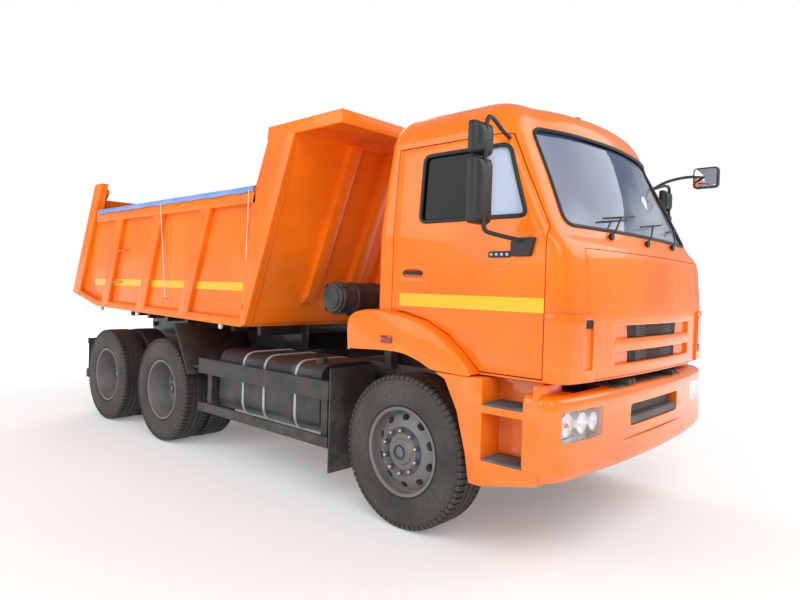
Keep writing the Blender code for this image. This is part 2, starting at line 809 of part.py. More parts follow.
def build_front_springs(truck):
    eye_z = RAIL_TOP - RAIL_HEIGHT - GAP - SPRING_EYE
    for side_name, side in SIDES:
        middle = side * (RAIL_HALF - RAIL_FLANGE / 2)
        low, high = middle - SPRING_WIDTH / 2, middle + SPRING_WIDTH / 2
        eyes = [cylinder("X", (0, y, eye_z), SPRING_EYE, low, high)
                for y in (-FRONT_SPRING_HALF, FRONT_SPRING_HALF)]
        piece(f"spring_front_{side_name}", prism(front_spring_outline(eye_z), "X", low, high), truck,
              [("UNION", eyes)], DARK, 0.6, 0.4)


def rear_spring_outline():
    """Leaf pack on the cross tube whose ends rest on both axles."""
    middle = (AXLE_2_Y + AXLE_3_Y) / 2
    reach = (AXLE_3_Y - AXLE_2_Y) / 2 + AXLE_TUBE / 2
    end_z = TYRE_RADIUS + AXLE_TUBE + AXLE_PAD + GAP
    seat = BALANCER_Z + BALANCER_RADIUS + GAP
    under_shares = ((0.3, 1.0), (0.82, 0.0), (1.0, 0.0))
    top_shares = ((1.0, 0.0), (0.55, 0.72), (0.15, 1.0))
    half = [(reach * a, end_z + (seat - end_z) * b) for a, b in under_shares]
    half += [(reach * a, end_z + LEAF_T + (seat - end_z + REAR_SPRING_T - LEAF_T) * b) for a, b in top_shares]
    return [(middle + a, b) for a, b in mirrored(half)]


def build_rear_axles(truck):
    tube_half = REAR_TRACK_HALF - REAR_DRUM_REACH - CLEAR
    spindle_half = REAR_TRACK_HALF - DISC_T - CLEAR
    for number, y in ((2, AXLE_2_Y), (3, AXLE_3_Y)):
        bowl = turned([(-DIFF_RADIUS, 0)] + [(DIFF_RADIUS * sin(radians(a)), DIFF_RADIUS * cos(radians(a)))
                                             for a in (-60, -30, 0, 30, 60)] + [(DIFF_RADIUS, 0)],
                      False, PIN_SIDES, "Y", (0, y, TYRE_RADIUS))
        spindles = cylinder("X", (0, y, TYRE_RADIUS), spindle_radius(), -spindle_half, spindle_half,
                            SEGMENTS // 2)
        pads = [box((side * REAR_SPRING_X - REAR_SPRING_WIDTH / 2, y - AXLE_TUBE / 2, TYRE_RADIUS),
                    (side * REAR_SPRING_X + REAR_SPRING_WIDTH / 2, y + AXLE_TUBE / 2,
                     TYRE_RADIUS + AXLE_TUBE + AXLE_PAD)) for _, side in SIDES]
        piece(f"rear_axle_{number}", cylinder("X", (0, y, TYRE_RADIUS), AXLE_TUBE, -tube_half, tube_half),
              truck, [("UNION", [bowl, spindles] + pads)], DARK, 0.6, 0.2)
    for side_name, side in SIDES:
        piece(f"spring_rear_{side_name}",
              prism(rear_spring_outline(), "X", side * REAR_SPRING_X - REAR_SPRING_WIDTH / 2,
                    side * REAR_SPRING_X + REAR_SPRING_WIDTH / 2), truck, (), DARK, 0.6, 0.4)


def build_engine(truck):
    gearbox = box((-GEARBOX_HALF, ENGINE_REAR - BITE, GEARBOX_LOW), (GEARBOX_HALF, GEARBOX_REAR, GEARBOX_TOP))
    shaft_end = AXLE_2_Y - DIFF_RADIUS - GAP
    shaft = bar((0, GEARBOX_REAR - BITE, TYRE_RADIUS + SHAFT_DROP), (0, shaft_end - FLANGE_HALF / 2, TYRE_RADIUS),
                SHAFT_RADIUS)
    flange = cylinder("Y", (0, 0, TYRE_RADIUS), FLANGE_HALF, shaft_end - FLANGE_HALF, shaft_end)
    mount_z = RAIL_TOP - RAIL_HEIGHT / 2
    mount_y = ENGINE_FRONT + (ENGINE_REAR - ENGINE_FRONT) / 2
    mounts = box((-RAIL_HALF + RAIL_T + GAP, mount_y, mount_z), (RAIL_HALF - RAIL_T - GAP,
                                                             mount_y + MEMBER_T, mount_z + MEMBER_T))
    piece("engine", box((-ENGINE_HALF, ENGINE_FRONT, ENGINE_LOW), (ENGINE_HALF, ENGINE_REAR, ENGINE_TOP)),
          truck, [("UNION", [gearbox, shaft, flange, mounts])], STEEL, 0.6, 0.3)


# Cab

def plan_ring(half, front, edge, side_y, rear, radius, z):
    """Plan outline of the cab at one height, from the front's middle round by the left."""
    sweep_shares = ((0, 0), (0.3, 0.12), (0.58, 0.45), (0.86, 1.0))
    corner_shares = ((0.955, 0.25), (0.99, 0.58), (1.0, 1.0))
    left = [(half * a, front + (edge - front) * b) for a, b in sweep_shares]
    left += [(half * a, edge + (side_y - edge) * b) for a, b in corner_shares]
    left += [(half, rear - radius), (half - radius * 0.3, rear - radius * 0.3), (half - radius, rear)]
    ring = left + [(-a, b) for a, b in reversed(left[1:])]
    return [(a, b, z) for a, b in ring]


def cab_body(inset=0.0, low=None):
    """The cab's outer form, or the same form moved inwards by inset."""
    rows = (
        (CAB_BOTTOM if low is None else low, CAB_HALF, NOSE_Y, CAB_REAR),
        (WAIST_Z, CAB_HALF, NOSE_Y, CAB_REAR),
        (BELT_Z, CAB_HALF, BELT_FRONT, CAB_REAR),
        (COWL_Z, CAB_HALF, COWL_FRONT, CAB_REAR),
        (SEAM_Z, CAB_TOP_HALF, SEAM_FRONT, CAB_TOP_REAR),
    )
    rings = []
    for z, half, front, rear in rows:
        edge = front + SWEEP
        rings.append(plan_ring(half - inset, front + inset, edge + inset, edge + CORNER_DEPTH + inset,
                               rear - inset, CORNER_RADIUS, z))
    crown_shares = ((0.40, 0.975, 0.05), (0.75, 0.90, 0.16), (0.95, 0.76, 0.36), (1.0, 0.5, 0.75))
    length = CAB_TOP_REAR - SEAM_FRONT
    for rise, width, pull in crown_shares:
        z = SEAM_Z + (ROOF_Z - SEAM_Z - inset) * rise
        front = SEAM_FRONT + length * pull * 0.45 + inset
        edge = front + SWEEP
        rear = CAB_TOP_REAR - length * pull * 0.3 - inset
        rings.append(plan_ring(CAB_TOP_HALF * width - inset, front, edge, edge + CORNER_DEPTH, rear,
                               CORNER_RADIUS, z))
    return loft(rings)


def screen_outline(margin=0.0):
    half = SCREEN_HALF - margin
    return rounded([(-half, SCREEN_LOW + margin), (half, SCREEN_LOW + margin),
                    (half, SCREEN_TOP - margin), (-half, SCREEN_TOP - margin)], WINDOW_RADIUS + margin)


def window_outline(margin=0.0):
    return rounded([(WINDOW_REAR - margin, WINDOW_LOW + margin), (WINDOW_REAR - margin, WINDOW_TOP - margin),
                    (WINDOW_TOP_FRONT + margin, WINDOW_TOP - margin), (WINDOW_FRONT + margin, WINDOW_LOW + margin)],
                   WINDOW_RADIUS + margin)


def arch_outer():
    """Upper edge of the wheel arch from its rear end to the split above the step panel."""
    rise = ARCH_TOP - CAB_BOTTOM
    reach = ARCH_REAR - ARCH_LOW_Y
    shares = ((0.0, 0.2), (0.0, 0.78), (0.055, 0.92), (0.24, 1.0), (0.43, 0.95), (0.62, 0.82),
              (0.78, 0.6), (0.9, 0.32), (1.0, 0.0))
    return [(ARCH_REAR - reach * a, CAB_BOTTOM + rise * b) for a, b in shares]


def arch_inner():
    """Lower edge of the upper arch, from the split back to its rear end."""
    rise = ARCH_INNER_TOP - CAB_BOTTOM
    reach = ARCH_REAR - ARCH_LOW_Y
    shares = ((0.72, 0.0), (0.62, 0.55), (0.47, 1.0), (0.04, 0.85))
    return [(ARCH_REAR - reach * a, CAB_BOTTOM + rise * b) for a, b in shares]


def door_outline(margin=0.0):
    """Door outline as (y, z); margin shrinks it all round."""
    m = margin
    lower = [(a, b + CLEAR + m) for a, b in arch_outer()
             if DOOR_FRONT < a - CLEAR and a + CLEAR < DOOR_REAR - m and b > DOOR_LOW]
    corner = (lower[0][0] + (DOOR_REAR - lower[0][0]) * 0.9, lower[0][1])
    low_front = arch_outer()[-1][0] - m
    outline = [(DOOR_FRONT + m, DOOR_LOW + m), (DOOR_FRONT + m, DOOR_LEAN_Z),
               (DOOR_TOP_FRONT + m, DOOR_TOP - m), (DOOR_REAR - m, DOOR_TOP - m),
               (DOOR_REAR - m, corner[1])]
    return outline + lower + [(low_front, DOOR_LOW + m)]


def door_hinge_places():
    height = DOOR_LEAN_Z - DOOR_LOW
    return [DOOR_LOW + height * share for share in (HINGE_LOW_SHARE, HINGE_TOP_SHARE)]


def hinge_cylinder(side, low, high, radius=HINGE_RADIUS):
    place = (side * CAB_HALF, DOOR_FRONT + CLEAR / 2, 0)
    return cylinder("Z", place, radius, low, high, 8)


def build_cab_shell(cab):
    inner = cab_body(CAB_WALL, CAB_FLOOR + CAB_WALL)
    under = prism([(FLOOR_STEP_Y, CAB_BOTTOM - OVERRUN), (FLOOR_STEP_Y, CAB_BOTTOM),
                   (FLOOR_STEP_Y + CAB_FLOOR - CAB_BOTTOM, CAB_FLOOR), (CAB_REAR + OVERRUN, CAB_FLOOR),
                   (CAB_REAR + OVERRUN, CAB_BOTTOM - OVERRUN)], "X", -CAB_HALF - OVERRUN, CAB_HALF + OVERRUN)
    cuts = [inner, under, prism(screen_outline(), "Y", NOSE_Y - OVERRUN, SEAM_FRONT + OVERRUN)]
    joined, notches = [], [cylinder("X", (0, CAB_PIVOT_Y, CAB_PIVOT_Z), bore(PIN_RADIUS),
                                    -CAB_HALF, CAB_HALF)]
    for _, side in SIDES:
        cuts.append(prism(door_outline(), "X", side * (CAB_TOP_HALF - CAB_WALL * 2), side * (CAB_HALF + OVERRUN)))
        joined.append(prism(arch_outer() + arch_inner(), "X", side * ARCH_ROOT, side * ARCH_HALF, ARCH_SHEET_T * 2, 3))
        sheet = arch_inner() + [(a, b + ARCH_SHEET_T) for a, b in reversed(arch_inner())]
        joined.append(prism(sheet, "X", side * ARCH_SHEET_X, side * (ARCH_ROOT + BITE)))
        joined.append(cab_lug(side))
        for z in door_hinge_places():
            joined.append(hinge_cylinder(side, z + HINGE_HALF + GAP, z + 3 * HINGE_HALF))
            joined.append(hinge_cylinder(side, z - 3 * HINGE_HALF, z - HINGE_HALF - GAP))
            notches.append(hinge_cylinder(side, z - HINGE_HALF - GAP, z + HINGE_HALF + GAP, HINGE_RADIUS * 1.5))
    piece("cab", cab_body(), cab, [("DIFFERENCE", cuts), ("UNION", joined), ("DIFFERENCE", notches)],
          ORANGE, 0.3, 0)


def cab_lug(side):
    """Lug under the cab's nose that turns on the frame's pin."""
    place = side * CAB_PIVOT_X
    outline = arc((CAB_PIVOT_Y, CAB_PIVOT_Z), LUG_RADIUS, 180, 360, 6)
    outline += [(CAB_PIVOT_Y + LUG_RADIUS * 2, CAB_BOTTOM + BITE), (CAB_PIVOT_Y - LUG_RADIUS * 0.9, CAB_BOTTOM + BITE)]
    bm = prism(outline, "X", place - LUG_T / 2, place + LUG_T / 2)
    return bm


def build_windshield(cab):
    piece("windshield", cab_body(GLASS_INSET), cab,
          [("DIFFERENCE", [cab_body(GLASS_INSET + GLASS_T)]),
           ("INTERSECT", [prism(screen_outline(GAP), "Y", NOSE_Y - OVERRUN, SEAM_FRONT + OVERRUN / 2)])],
          (0.3, 0.35, 0.37), 0.08, 0)


def build_door(side_name, side, door):
    keep = prism(door_outline(CLEAR), "X", side * (CAB_TOP_HALF - CAB_WALL * 2), side * (CAB_HALF + OVERRUN))
    window = prism(window_outline(), "X", side * (CAB_TOP_HALF - CAB_WALL * 2), side * (CAB_HALF + OVERRUN))
    knuckles = [hinge_cylinder(side, z - HINGE_HALF, z + HINGE_HALF) for z in door_hinge_places()]
    notches = []
    for z in door_hinge_places():
        notches.append(hinge_cylinder(side, z + HINGE_HALF, z + 3 * HINGE_HALF + GAP, HINGE_RADIUS * 1.5))
        notches.append(hinge_cylinder(side, z - 3 * HINGE_HALF - GAP, z - HINGE_HALF, HINGE_RADIUS * 1.5))
    piece(f"door_{side_name}", cab_body(), door,
          [("DIFFERENCE", [cab_body(CAB_WALL, CAB_FLOOR - OVERRUN / 2)]), ("INTERSECT", [keep]),
           ("DIFFERENCE", [window] + notches), ("UNION", knuckles)], ORANGE, 0.3, 0)
    pane = prism(window_outline(GAP), "X", side * (CAB_TOP_HALF - CAB_WALL * 2), side * (CAB_HALF + OVERRUN))
    piece(f"glass_{side_name}", cab_body(GLASS_INSET), door,
          [("DIFFERENCE", [cab_body(GLASS_INSET + GLASS_T)]), ("INTERSECT", [pane])], (0.2, 0.22, 0.23), 0.08, 0)


def build_mirror(side_name, side, door):
    x = side * MIRROR_X
    back = MIRROR_Y + MIRROR_T
    head = prism(rounded([(x - MIRROR_HALF, MIRROR_LOW), (x + MIRROR_HALF, MIRROR_LOW),
                          (x + MIRROR_HALF, MIRROR_TOP), (x - MIRROR_HALF, MIRROR_TOP)], MIRROR_HALF / 3),
                 "Y", MIRROR_Y, back)
    small = prism(rounded([(x - MIRROR_HALF, SMALL_MIRROR_LOW), (x + MIRROR_HALF, SMALL_MIRROR_LOW),
                           (x + MIRROR_HALF, SMALL_MIRROR_TOP), (x - MIRROR_HALF, SMALL_MIRROR_TOP)],
                          MIRROR_HALF / 3), "Y", MIRROR_Y, back)
    front = MIRROR_Y + MIRROR_TUBE / 2
    skin = side * (CAB_HALF + GAP)
    foot = box((skin, MIRROR_FOOT_Y - MIRROR_FOOT_HALF, MIRROR_FOOT_Z - MIRROR_FOOT_HALF),
               (skin + side * MIRROR_FOOT_T, MIRROR_FOOT_Y + MIRROR_FOOT_HALF, MIRROR_FOOT_Z))
    low_bend = (x, front, MIRROR_LOW - MIRROR_HALF / 2)
    tubes = [bar((skin + side * MIRROR_FOOT_T / 2, MIRROR_FOOT_Y, MIRROR_FOOT_Z - MIRROR_FOOT_HALF / 2), low_bend,
                 MIRROR_TUBE),
             bar(low_bend, (x, front, SMALL_MIRROR_TOP + MIRROR_TUBE), MIRROR_TUBE),
             bar((x, front, SMALL_MIRROR_TOP), (side * CAB_HALF, DOOR_TOP_FRONT + MIRROR_HALF, DOOR_TOP - MIRROR_TUBE * 2),
                 MIRROR_TUBE)]
    piece(f"mirror_{side_name}", head, door, [("UNION", [small, foot] + tubes)], DARK, 0.4, 0)


def build_cab_inside(cab):
    front = BELT_FRONT + CAB_WALL
    outline = [(front - SWEEP, DASH_LOW), (front + DASH_DEPTH * 0.6, DASH_LOW), (front + DASH_DEPTH, DASH_TOP - CORNER_RADIUS),
               (front + DASH_DEPTH * 0.9, DASH_TOP), (front - SWEEP, DASH_TOP)]
    reach = CAB_HALF - CAB_WALL * 2
    ring = turned([(WHEEL_RIM * cos(t), WHEEL_RADIUS + WHEEL_RIM * sin(t))
                   for t in [2 * pi * i / 5 for i in range(5)]], True, 12, "Z")
    hub = turned([(-WHEEL_RIM * 2, 0), (-WHEEL_RIM * 2, WHEEL_RIM * 3), (WHEEL_RIM, WHEEL_RIM * 3), (WHEEL_RIM, 0)],
                 False, 8, "Z")
    spoke = box((-WHEEL_RADIUS, -WHEEL_RIM, -WHEEL_RIM / 2), (WHEEL_RADIUS, WHEEL_RIM, WHEEL_RIM / 2))
    for bm in (ring, hub, spoke):
        tilt(bm, radians(35), (WHEEL_X, WHEEL_Y, WHEEL_Z))
    column = bar((WHEEL_X, WHEEL_Y, WHEEL_Z), (WHEEL_X, front + DASH_DEPTH / 2, DASH_TOP - WHEEL_RADIUS), WHEEL_RIM * 1.5)
    piece("dashboard", prism(outline, "X", -reach, reach), cab,
          [("INTERSECT", [cab_body(CAB_WALL + GAP, CAB_FLOOR + CAB_WALL + GAP)]),
           ("UNION", [column, ring, hub, spoke])], (0.06, 0.06, 0.065), 0.7, 0)
    for side_name, side in SIDES:
        build_seat(side_name, side * SEAT_X, cab)


def tilt(bm, angle, place):
    """Turns a shape about X and moves it to its place."""
    for vert in bm.verts:
        y, z = vert.co.y, vert.co.z
        vert.co = Vector((vert.co.x, y * cos(angle) - z * sin(angle), y * sin(angle) + z * cos(angle))) + Vector(place)


def build_seat(side_name, x, cab):
    floor = CAB_FLOOR + CAB_WALL + GAP
    outline = [(SEAT_FRONT + CUSHION_T, floor), (SEAT_BACK_Y, floor), (SEAT_BACK_Y, SEAT_TOP - CUSHION_T),
               (SEAT_BACK_Y + CUSHION_T, BACKREST_TOP - CUSHION_T / 2), (SEAT_BACK_Y + CUSHION_T / 2, BACKREST_TOP),
               (SEAT_BACK_Y, BACKREST_TOP - CUSHION_T / 2), (SEAT_BACK_Y - CUSHION_T, SEAT_TOP),
               (SEAT_FRONT, SEAT_TOP), (SEAT_FRONT, SEAT_TOP - CUSHION_T)]
    piece(f"seat_{side_name}", prism(outline, "X", x - SEAT_HALF, x + SEAT_HALF), cab, (), (0.08, 0.08, 0.09), 0.9, 0)


# Bumper

def bumper_body(inset=0.0, top=0.0):
    rows = ((BUMPER_LOW - STEP_LOW / 4, 0.02, 0), (BUMPER_LOW + BUMPER_WALL, 0, 0), (BUMPER_SHOULDER, 0, 0),
            (BUMPER_TOP - BUMPER_WALL / 3, 0.012, 0), (BUMPER_TOP, 0.035, 0))
    rings = []
    for z, pull, _ in rows:
        front = NOSE_Y + pull + inset
        edge = front + SWEEP
        rings.append(plan_ring(BUMPER_HALF - pull - inset, front, edge, edge + CORNER_DEPTH,
                               STEP_FRONT + CORNER_DEPTH, CORNER_RADIUS / 6, z - top))
    return loft(rings)


def step_panel(side):
    """Block with two tread pockets between the bumper and the wheel."""
    outline = [(STEP_FRONT - BITE * 2, STEP_LOW), (STEP_REAR, ARCH_LOW), (ARCH_LOW_Y, ARCH_LOW)]
    shares = ((0.1, 0.26), (0.34, 0.66), (0.66, 0.94), (0.95, 1.0))
    reach = arch_inner()[0][0] - ARCH_LOW_Y
    outline += [(ARCH_LOW_Y + reach * a, ARCH_LOW + (STEP_TOP - ARCH_LOW) * b) for a, b in shares]
    outline += [(STEP_FRONT - BITE * 2, STEP_TOP)]
    return prism(outline, "X", side * STEP_INNER, side * BUMPER_HALF)


def step_pockets(side):
    deep = side * (BUMPER_HALF - STEP_DEPTH)
    far = side * (BUMPER_HALF + OVERRUN)
    rows = ((UPPER_TREAD_Z, STEP_TOP - TREAD_T), (LOWER_TREAD_Z, UPPER_TREAD_Z - TREAD_T))
    return [box((deep, STEP_FRONT + TREAD_T, low), (far, STEP_REAR, high)) for low, high in rows]


def lamp_box(side, margin=0.0):
    return box((side * (LAMP_INNER - margin), NOSE_Y - OVERRUN, LAMP_LOW - margin),
               (side * (LAMP_OUTER + margin), STEP_FRONT - LAMP_DEPTH / 3 + margin, LAMP_TOP + margin))


def build_bumper(truck):
    back = box((-STEP_INNER, STEP_FRONT - BUMPER_WALL * 1.5, BUMPER_LOW - OVERRUN),
               (STEP_INNER, STEP_FRONT + OVERRUN * 2, BUMPER_TOP + OVERRUN))
    slot = box((-SLOT_HALF, NOSE_Y - OVERRUN, SLOT_LOW), (SLOT_HALF, NOSE_Y + SLOT_DEPTH, SLOT_TOP))
    joined = [step_panel(side) for _, side in SIDES]
    cuts = [lamp_box(side, GAP) for _, side in SIDES] + [slot]
    for _, side in SIDES:
        cuts += step_pockets(side)
        joined.append(box((side * (RAIL_HALF - RAIL_T), STEP_FRONT - BUMPER_WALL * 1.5 - BITE, RAIL_TOP - RAIL_HEIGHT + RAIL_T),
                          (side * (RAIL_HALF - RAIL_FLANGE), FRAME_FRONT - GAP, RAIL_TOP - RAIL_T)))
        joined.append(box((side * RAIL_HALF, STEP_FRONT - BUMPER_WALL * 1.5 - BITE, RAIL_TOP - RAIL_HEIGHT),
                          (side * (RAIL_HALF + RAIL_T), FRAME_FRONT - GAP, RAIL_TOP - RAIL_HEIGHT / 2)))
    piece("bumper", bumper_body(), truck, [("DIFFERENCE", [back]), ("UNION", joined), ("DIFFERENCE", cuts)],
          ORANGE, 0.3, 0)
    for side_name, side in SIDES:
        piece(f"headlight_{side_name}", bumper_body(GAP * 4), truck, [("INTERSECT", [lamp_box(side)])],
              (0.6, 0.62, 0.64), 0.15, 0.2)


# Bed

def tail_y(z, inset=0.0):
    """The y of the tail's leaning plane at a height."""
    return line_at(z, (TAIL_Y, TAIL_LOW), (TAIL_TOP_Y, TAIL_TOP)) - inset


def head_y(z):
    return line_at(z, (BED_FRONT - SILL_HEIGHT * 0.6, BED_LOW + GAP), (HEAD_TOP_Y, CANOPY_LOW))


def bed_side(side):
    """Plain side sheet with the canopy's gusset, from the floor to the rail."""
    outline = [(BED_FRONT, BED_LOW), (BED_RISE_Y, BED_RISE_Z), (TAIL_Y, TAIL_LOW), (TAIL_TOP_Y, TAIL_TOP),
               (TAIL_TOP_Y - SILL_HEIGHT / 2, TAIL_TOP + SILL_HEIGHT / 3), (POST_TOP_Y, TAIL_TOP + SILL_HEIGHT / 4),
               (POST_TOP_Y + (TAIL_TOP - RAIL_Z) * RIB_LEAN, RAIL_Z), (BED_RAIL_FRONT, RAIL_Z),
               (CANOPY_REAR, CANOPY_LOW), (CANOPY_REAR, CANOPY_LOW + BITE), (HEAD_TOP_Y, CANOPY_LOW + BITE),
               (head_y(BED_LOW + SILL_HEIGHT), BED_LOW + SILL_HEIGHT / 3)]
    return prism(outline, "X", side * BED_INNER, side * PANEL_X)


def leaning_post(side, top_front, top_z, low_z, width, low_width=None):
    """A box post on the side sheet that leans forward at its top."""
    low_front = top_front + (top_z - low_z) * RIB_LEAN
    low_width = width if low_width is None else low_width
    outline = [(top_front, top_z), (top_front + width, top_z), (low_front + low_width, low_z), (low_front, low_z)]
    return prism(outline, "X", side * (PANEL_X - BITE), side * BED_HALF)


def tail_post(side):
    top = TAIL_TOP + SILL_HEIGHT / 4
    outline = [(POST_TOP_Y, top), (TAIL_TOP_Y - SILL_HEIGHT / 2, top), (TAIL_TOP_Y, TAIL_TOP), (TAIL_Y, TAIL_LOW),
               (TAIL_Y - POST_WIDTH, TAIL_LOW - SILL_HEIGHT / 2)]
    return prism(outline, "X", side * (PANEL_X - BITE), side * BED_HALF)


def front_post(side):
    outline = [(HEAD_TOP_Y, CANOPY_LOW + BITE), (CANOPY_REAR, CANOPY_LOW + BITE), (BED_RAIL_FRONT, RAIL_Z),
               (BED_RAIL_FRONT + RIB_WIDTH * 0.6, RAIL_Z - RIB_WIDTH * 2), (BED_FRONT, BED_LOW),
               (head_y(BED_LOW + SILL_HEIGHT), BED_LOW + SILL_HEIGHT / 3)]
    return prism(outline, "X", side * (PANEL_X - BITE), side * BED_HALF)


def side_rail(side):
    rear = POST_TOP_Y + (TAIL_TOP - RAIL_Z) * RIB_LEAN + BITE
    return box((side * BED_RAIL_X, BED_RAIL_FRONT - BITE, RAIL_Z - BED_RAIL_HEIGHT), (side * BED_HALF, rear, RAIL_Z))


def side_sill(side):
    outline = [(BED_FRONT - BITE, BED_LOW), (BED_RISE_Y, BED_RISE_Z), (TAIL_Y - BITE, TAIL_LOW),
               (TAIL_Y - BITE - SILL_HEIGHT / 3, TAIL_LOW + SILL_HEIGHT), (BED_RISE_Y, BED_RISE_Z + SILL_HEIGHT),
               (BED_FRONT - BITE, BED_LOW + SILL_HEIGHT)]
    return prism(outline, "X", side * (PANEL_X - BITE), side * (BED_HALF - BITE))


def floor_outline():
    """Floor sheet as (y, z); it ends ahead of the tailgate."""
    top_z = TAIL_LOW + FLOOR_T * 0.6
    end = tail_y(top_z, GATE_INSET + GATE_T + CLEAR)
    slope = (TAIL_LOW - BED_RISE_Z) / (TAIL_Y - BED_RISE_Y)
    low_end = BED_RISE_Z + (end - BED_RISE_Y) * slope
    return [(BED_FRONT, BED_LOW + GAP), (BED_RISE_Y, BED_RISE_Z), (end, low_end), (end, low_end + FLOOR_T * 0.7),
            (BED_RISE_Y, BED_RISE_Z + FLOOR_T), (BED_FRONT - SILL_HEIGHT / 2, BED_LOW + FLOOR_T)]


def canopy_shapes():
    outline = [(CANOPY_FRONT, CANOPY_LOW), (CANOPY_FRONT, CANOPY_TOP), (CANOPY_REAR, CANOPY_TOP),
               (CANOPY_REAR + SILL_HEIGHT / 4, CANOPY_LOW)]
    pocket = box((-BED_HALF + CANOPY_LIP, CANOPY_FRONT + CANOPY_LIP, CANOPY_LOW - BITE),
                 (BED_HALF - CANOPY_LIP, HEAD_TOP_Y - CANOPY_LIP, CANOPY_TOP - CANOPY_SKIN))
    return prism(outline, "X", -BED_HALF, BED_HALF), pocket


def head_wall():
    top = CANOPY_LOW + BITE
    low = BED_LOW + SILL_HEIGHT / 2
    return prism([(head_y(top), top), (head_y(top) + HEAD_T, top), (head_y(low) + HEAD_T, low), (head_y(low), low)],
                 "X", -PANEL_X, PANEL_X)


def head_rib(x):
    top, low = CANOPY_LOW + BITE, BED_LOW + SILL_HEIGHT * 3
    return prism([(head_y(top) - HEAD_RIB_DEPTH, top), (head_y(top) + BITE, top), (head_y(low) + BITE, low),
                  (head_y(low) - HEAD_RIB_DEPTH / 3, low), (head_y(low + SILL_HEIGHT) - HEAD_RIB_DEPTH, low + SILL_HEIGHT)],
                 "X", x - HEAD_RIB_HALF, x + HEAD_RIB_HALF)


def bearer(side):
    """Long beam under the floor that rests on the frame and turns on its pin."""
    top = BED_LOW + FLOOR_T / 2
    radius = BED_PIVOT_Z - RAIL_TOP - GAP
    outline = [(BEARER_FRONT, top), (BEARER_FRONT, RAIL_TOP + GAP)]
    outline += arc((BED_PIVOT_Y, BED_PIVOT_Z), radius, -90, 0, 5)
    outline += [(BED_PIVOT_Y + radius, BED_RISE_Z + FLOOR_T / 2), (BED_RISE_Y, BED_RISE_Z + FLOOR_T / 2)]
    x = side * BEARER_X
    return prism(outline, "X", x - BEARER_HALF, x + BEARER_HALF)


def hoist_ear(side):
    """Plate under the floor beside the hoist's eye."""
    near = side * (HOIST_EYE_HALF + GAP)
    outline = arc((HOIST_Y, HOIST_EYE_Z), HOIST_EYE_RADIUS, 180, 360, 6)
    outline += [(HOIST_Y + HOIST_EYE_RADIUS * 2, BED_LOW + FLOOR_T / 2), (HOIST_Y - HOIST_EYE_RADIUS * 2, BED_LOW + FLOOR_T / 2)]
    return prism(outline, "X", near, near + side * HOIST_EYE_HALF / 2)


def build_bed(bed):
    canopy, pocket = canopy_shapes()
    joined = [canopy, prism(floor_outline(), "X", -BED_INNER - BITE, BED_INNER + BITE), head_wall()]
    cuts = [pocket]
    for _, side in SIDES:
        joined += [bed_side(side), tail_post(side), front_post(side), side_rail(side), side_sill(side),
                   bearer(side), hoist_ear(side)]
        for number in range(3):
            joined.append(leaning_post(side, RIB_TOP_FRONT + number * RIB_PITCH, RAIL_Z - BED_RAIL_HEIGHT + BITE,
                                       BED_RISE_Z, RIB_WIDTH))
        joined.append(cylinder("X", (0, GATE_PIVOT_Y, GATE_PIVOT_Z), GATE_PIN_RADIUS,
                               side * (BED_INNER - GATE_ARM_T), side * (BED_INNER + BITE)))
        cuts.append(cylinder("X", (0, BED_PIVOT_Y, BED_PIVOT_Z), bore(BED_PIN_RADIUS),
                             side * (BEARER_X - BEARER_HALF - BITE), side * (BEARER_X + BEARER_HALF + BITE)))
    joined += [head_rib(BED_HALF * share) for share in HEAD_RIB_X_SHARE]
    piece("bed", joined[0], bed, [("UNION", joined[1:]), ("DIFFERENCE", cuts)], ORANGE, 0.35, 0)


def build_tailgate(gate):
    half = BED_INNER - CLEAR
    outline = [(tail_y(GATE_LOW, GATE_INSET), GATE_LOW), (tail_y(GATE_TOP, GATE_INSET), GATE_TOP),
               (tail_y(GATE_TOP, GATE_INSET + GATE_T), GATE_TOP), (tail_y(GATE_LOW, GATE_INSET + GATE_T), GATE_LOW)]
    arms, holes = [], []
    for _, side in SIDES:
        reach = arc((GATE_PIVOT_Y, GATE_PIVOT_Z), GATE_ARM_RADIUS, 20, 200, 8)
        low = GATE_TOP - GATE_T
        reach += [(tail_y(low, GATE_INSET + GATE_T - BITE), low), (tail_y(low, GATE_INSET + BITE), low)]
        arms.append(prism(reach, "X", side * half, side * (half - GATE_ARM_T)))
        holes.append(cylinder("X", (0, GATE_PIVOT_Y, GATE_PIVOT_Z), bore(GATE_PIN_RADIUS),
                              side * (half + BITE), side * (half - GATE_ARM_T - BITE)))
    piece("tailgate", prism(outline, "X", -half, half), gate, [("UNION", arms), ("DIFFERENCE", holes)],
          ORANGE, 0.35, 0)


def build_cover(bed):
    """Cover sheet over the rails, a little higher in the middle."""
    edge = BED_HALF + GAP
    top = RAIL_Z + GAP
    low = top - SHEET_DROP
    crown_shares = ((0.0, 1.0), (0.6, 0.7), (1.0, 0.0))
    under = [(SHEET_EDGE_X * a, top + SHEET_CROWN * b) for a, b in crown_shares]
    over = [(a, b + SHEET_T) for a, b in under]
    half = under + [(edge, top), (edge, low), (edge + SHEET_T, low), (edge + SHEET_T, top + SHEET_T / 2)]
    outline = mirrored(half + list(reversed(over)))
    rear = POST_TOP_Y + (TAIL_TOP - RAIL_Z - SHEET_CROWN * 1.5) * RIB_LEAN - CLEAR
    piece("cover", prism(outline, "Y", BED_RAIL_FRONT + CLEAR, rear), bed, (), (0.1, 0.28, 0.55), 0.8, 0)


# Hoist

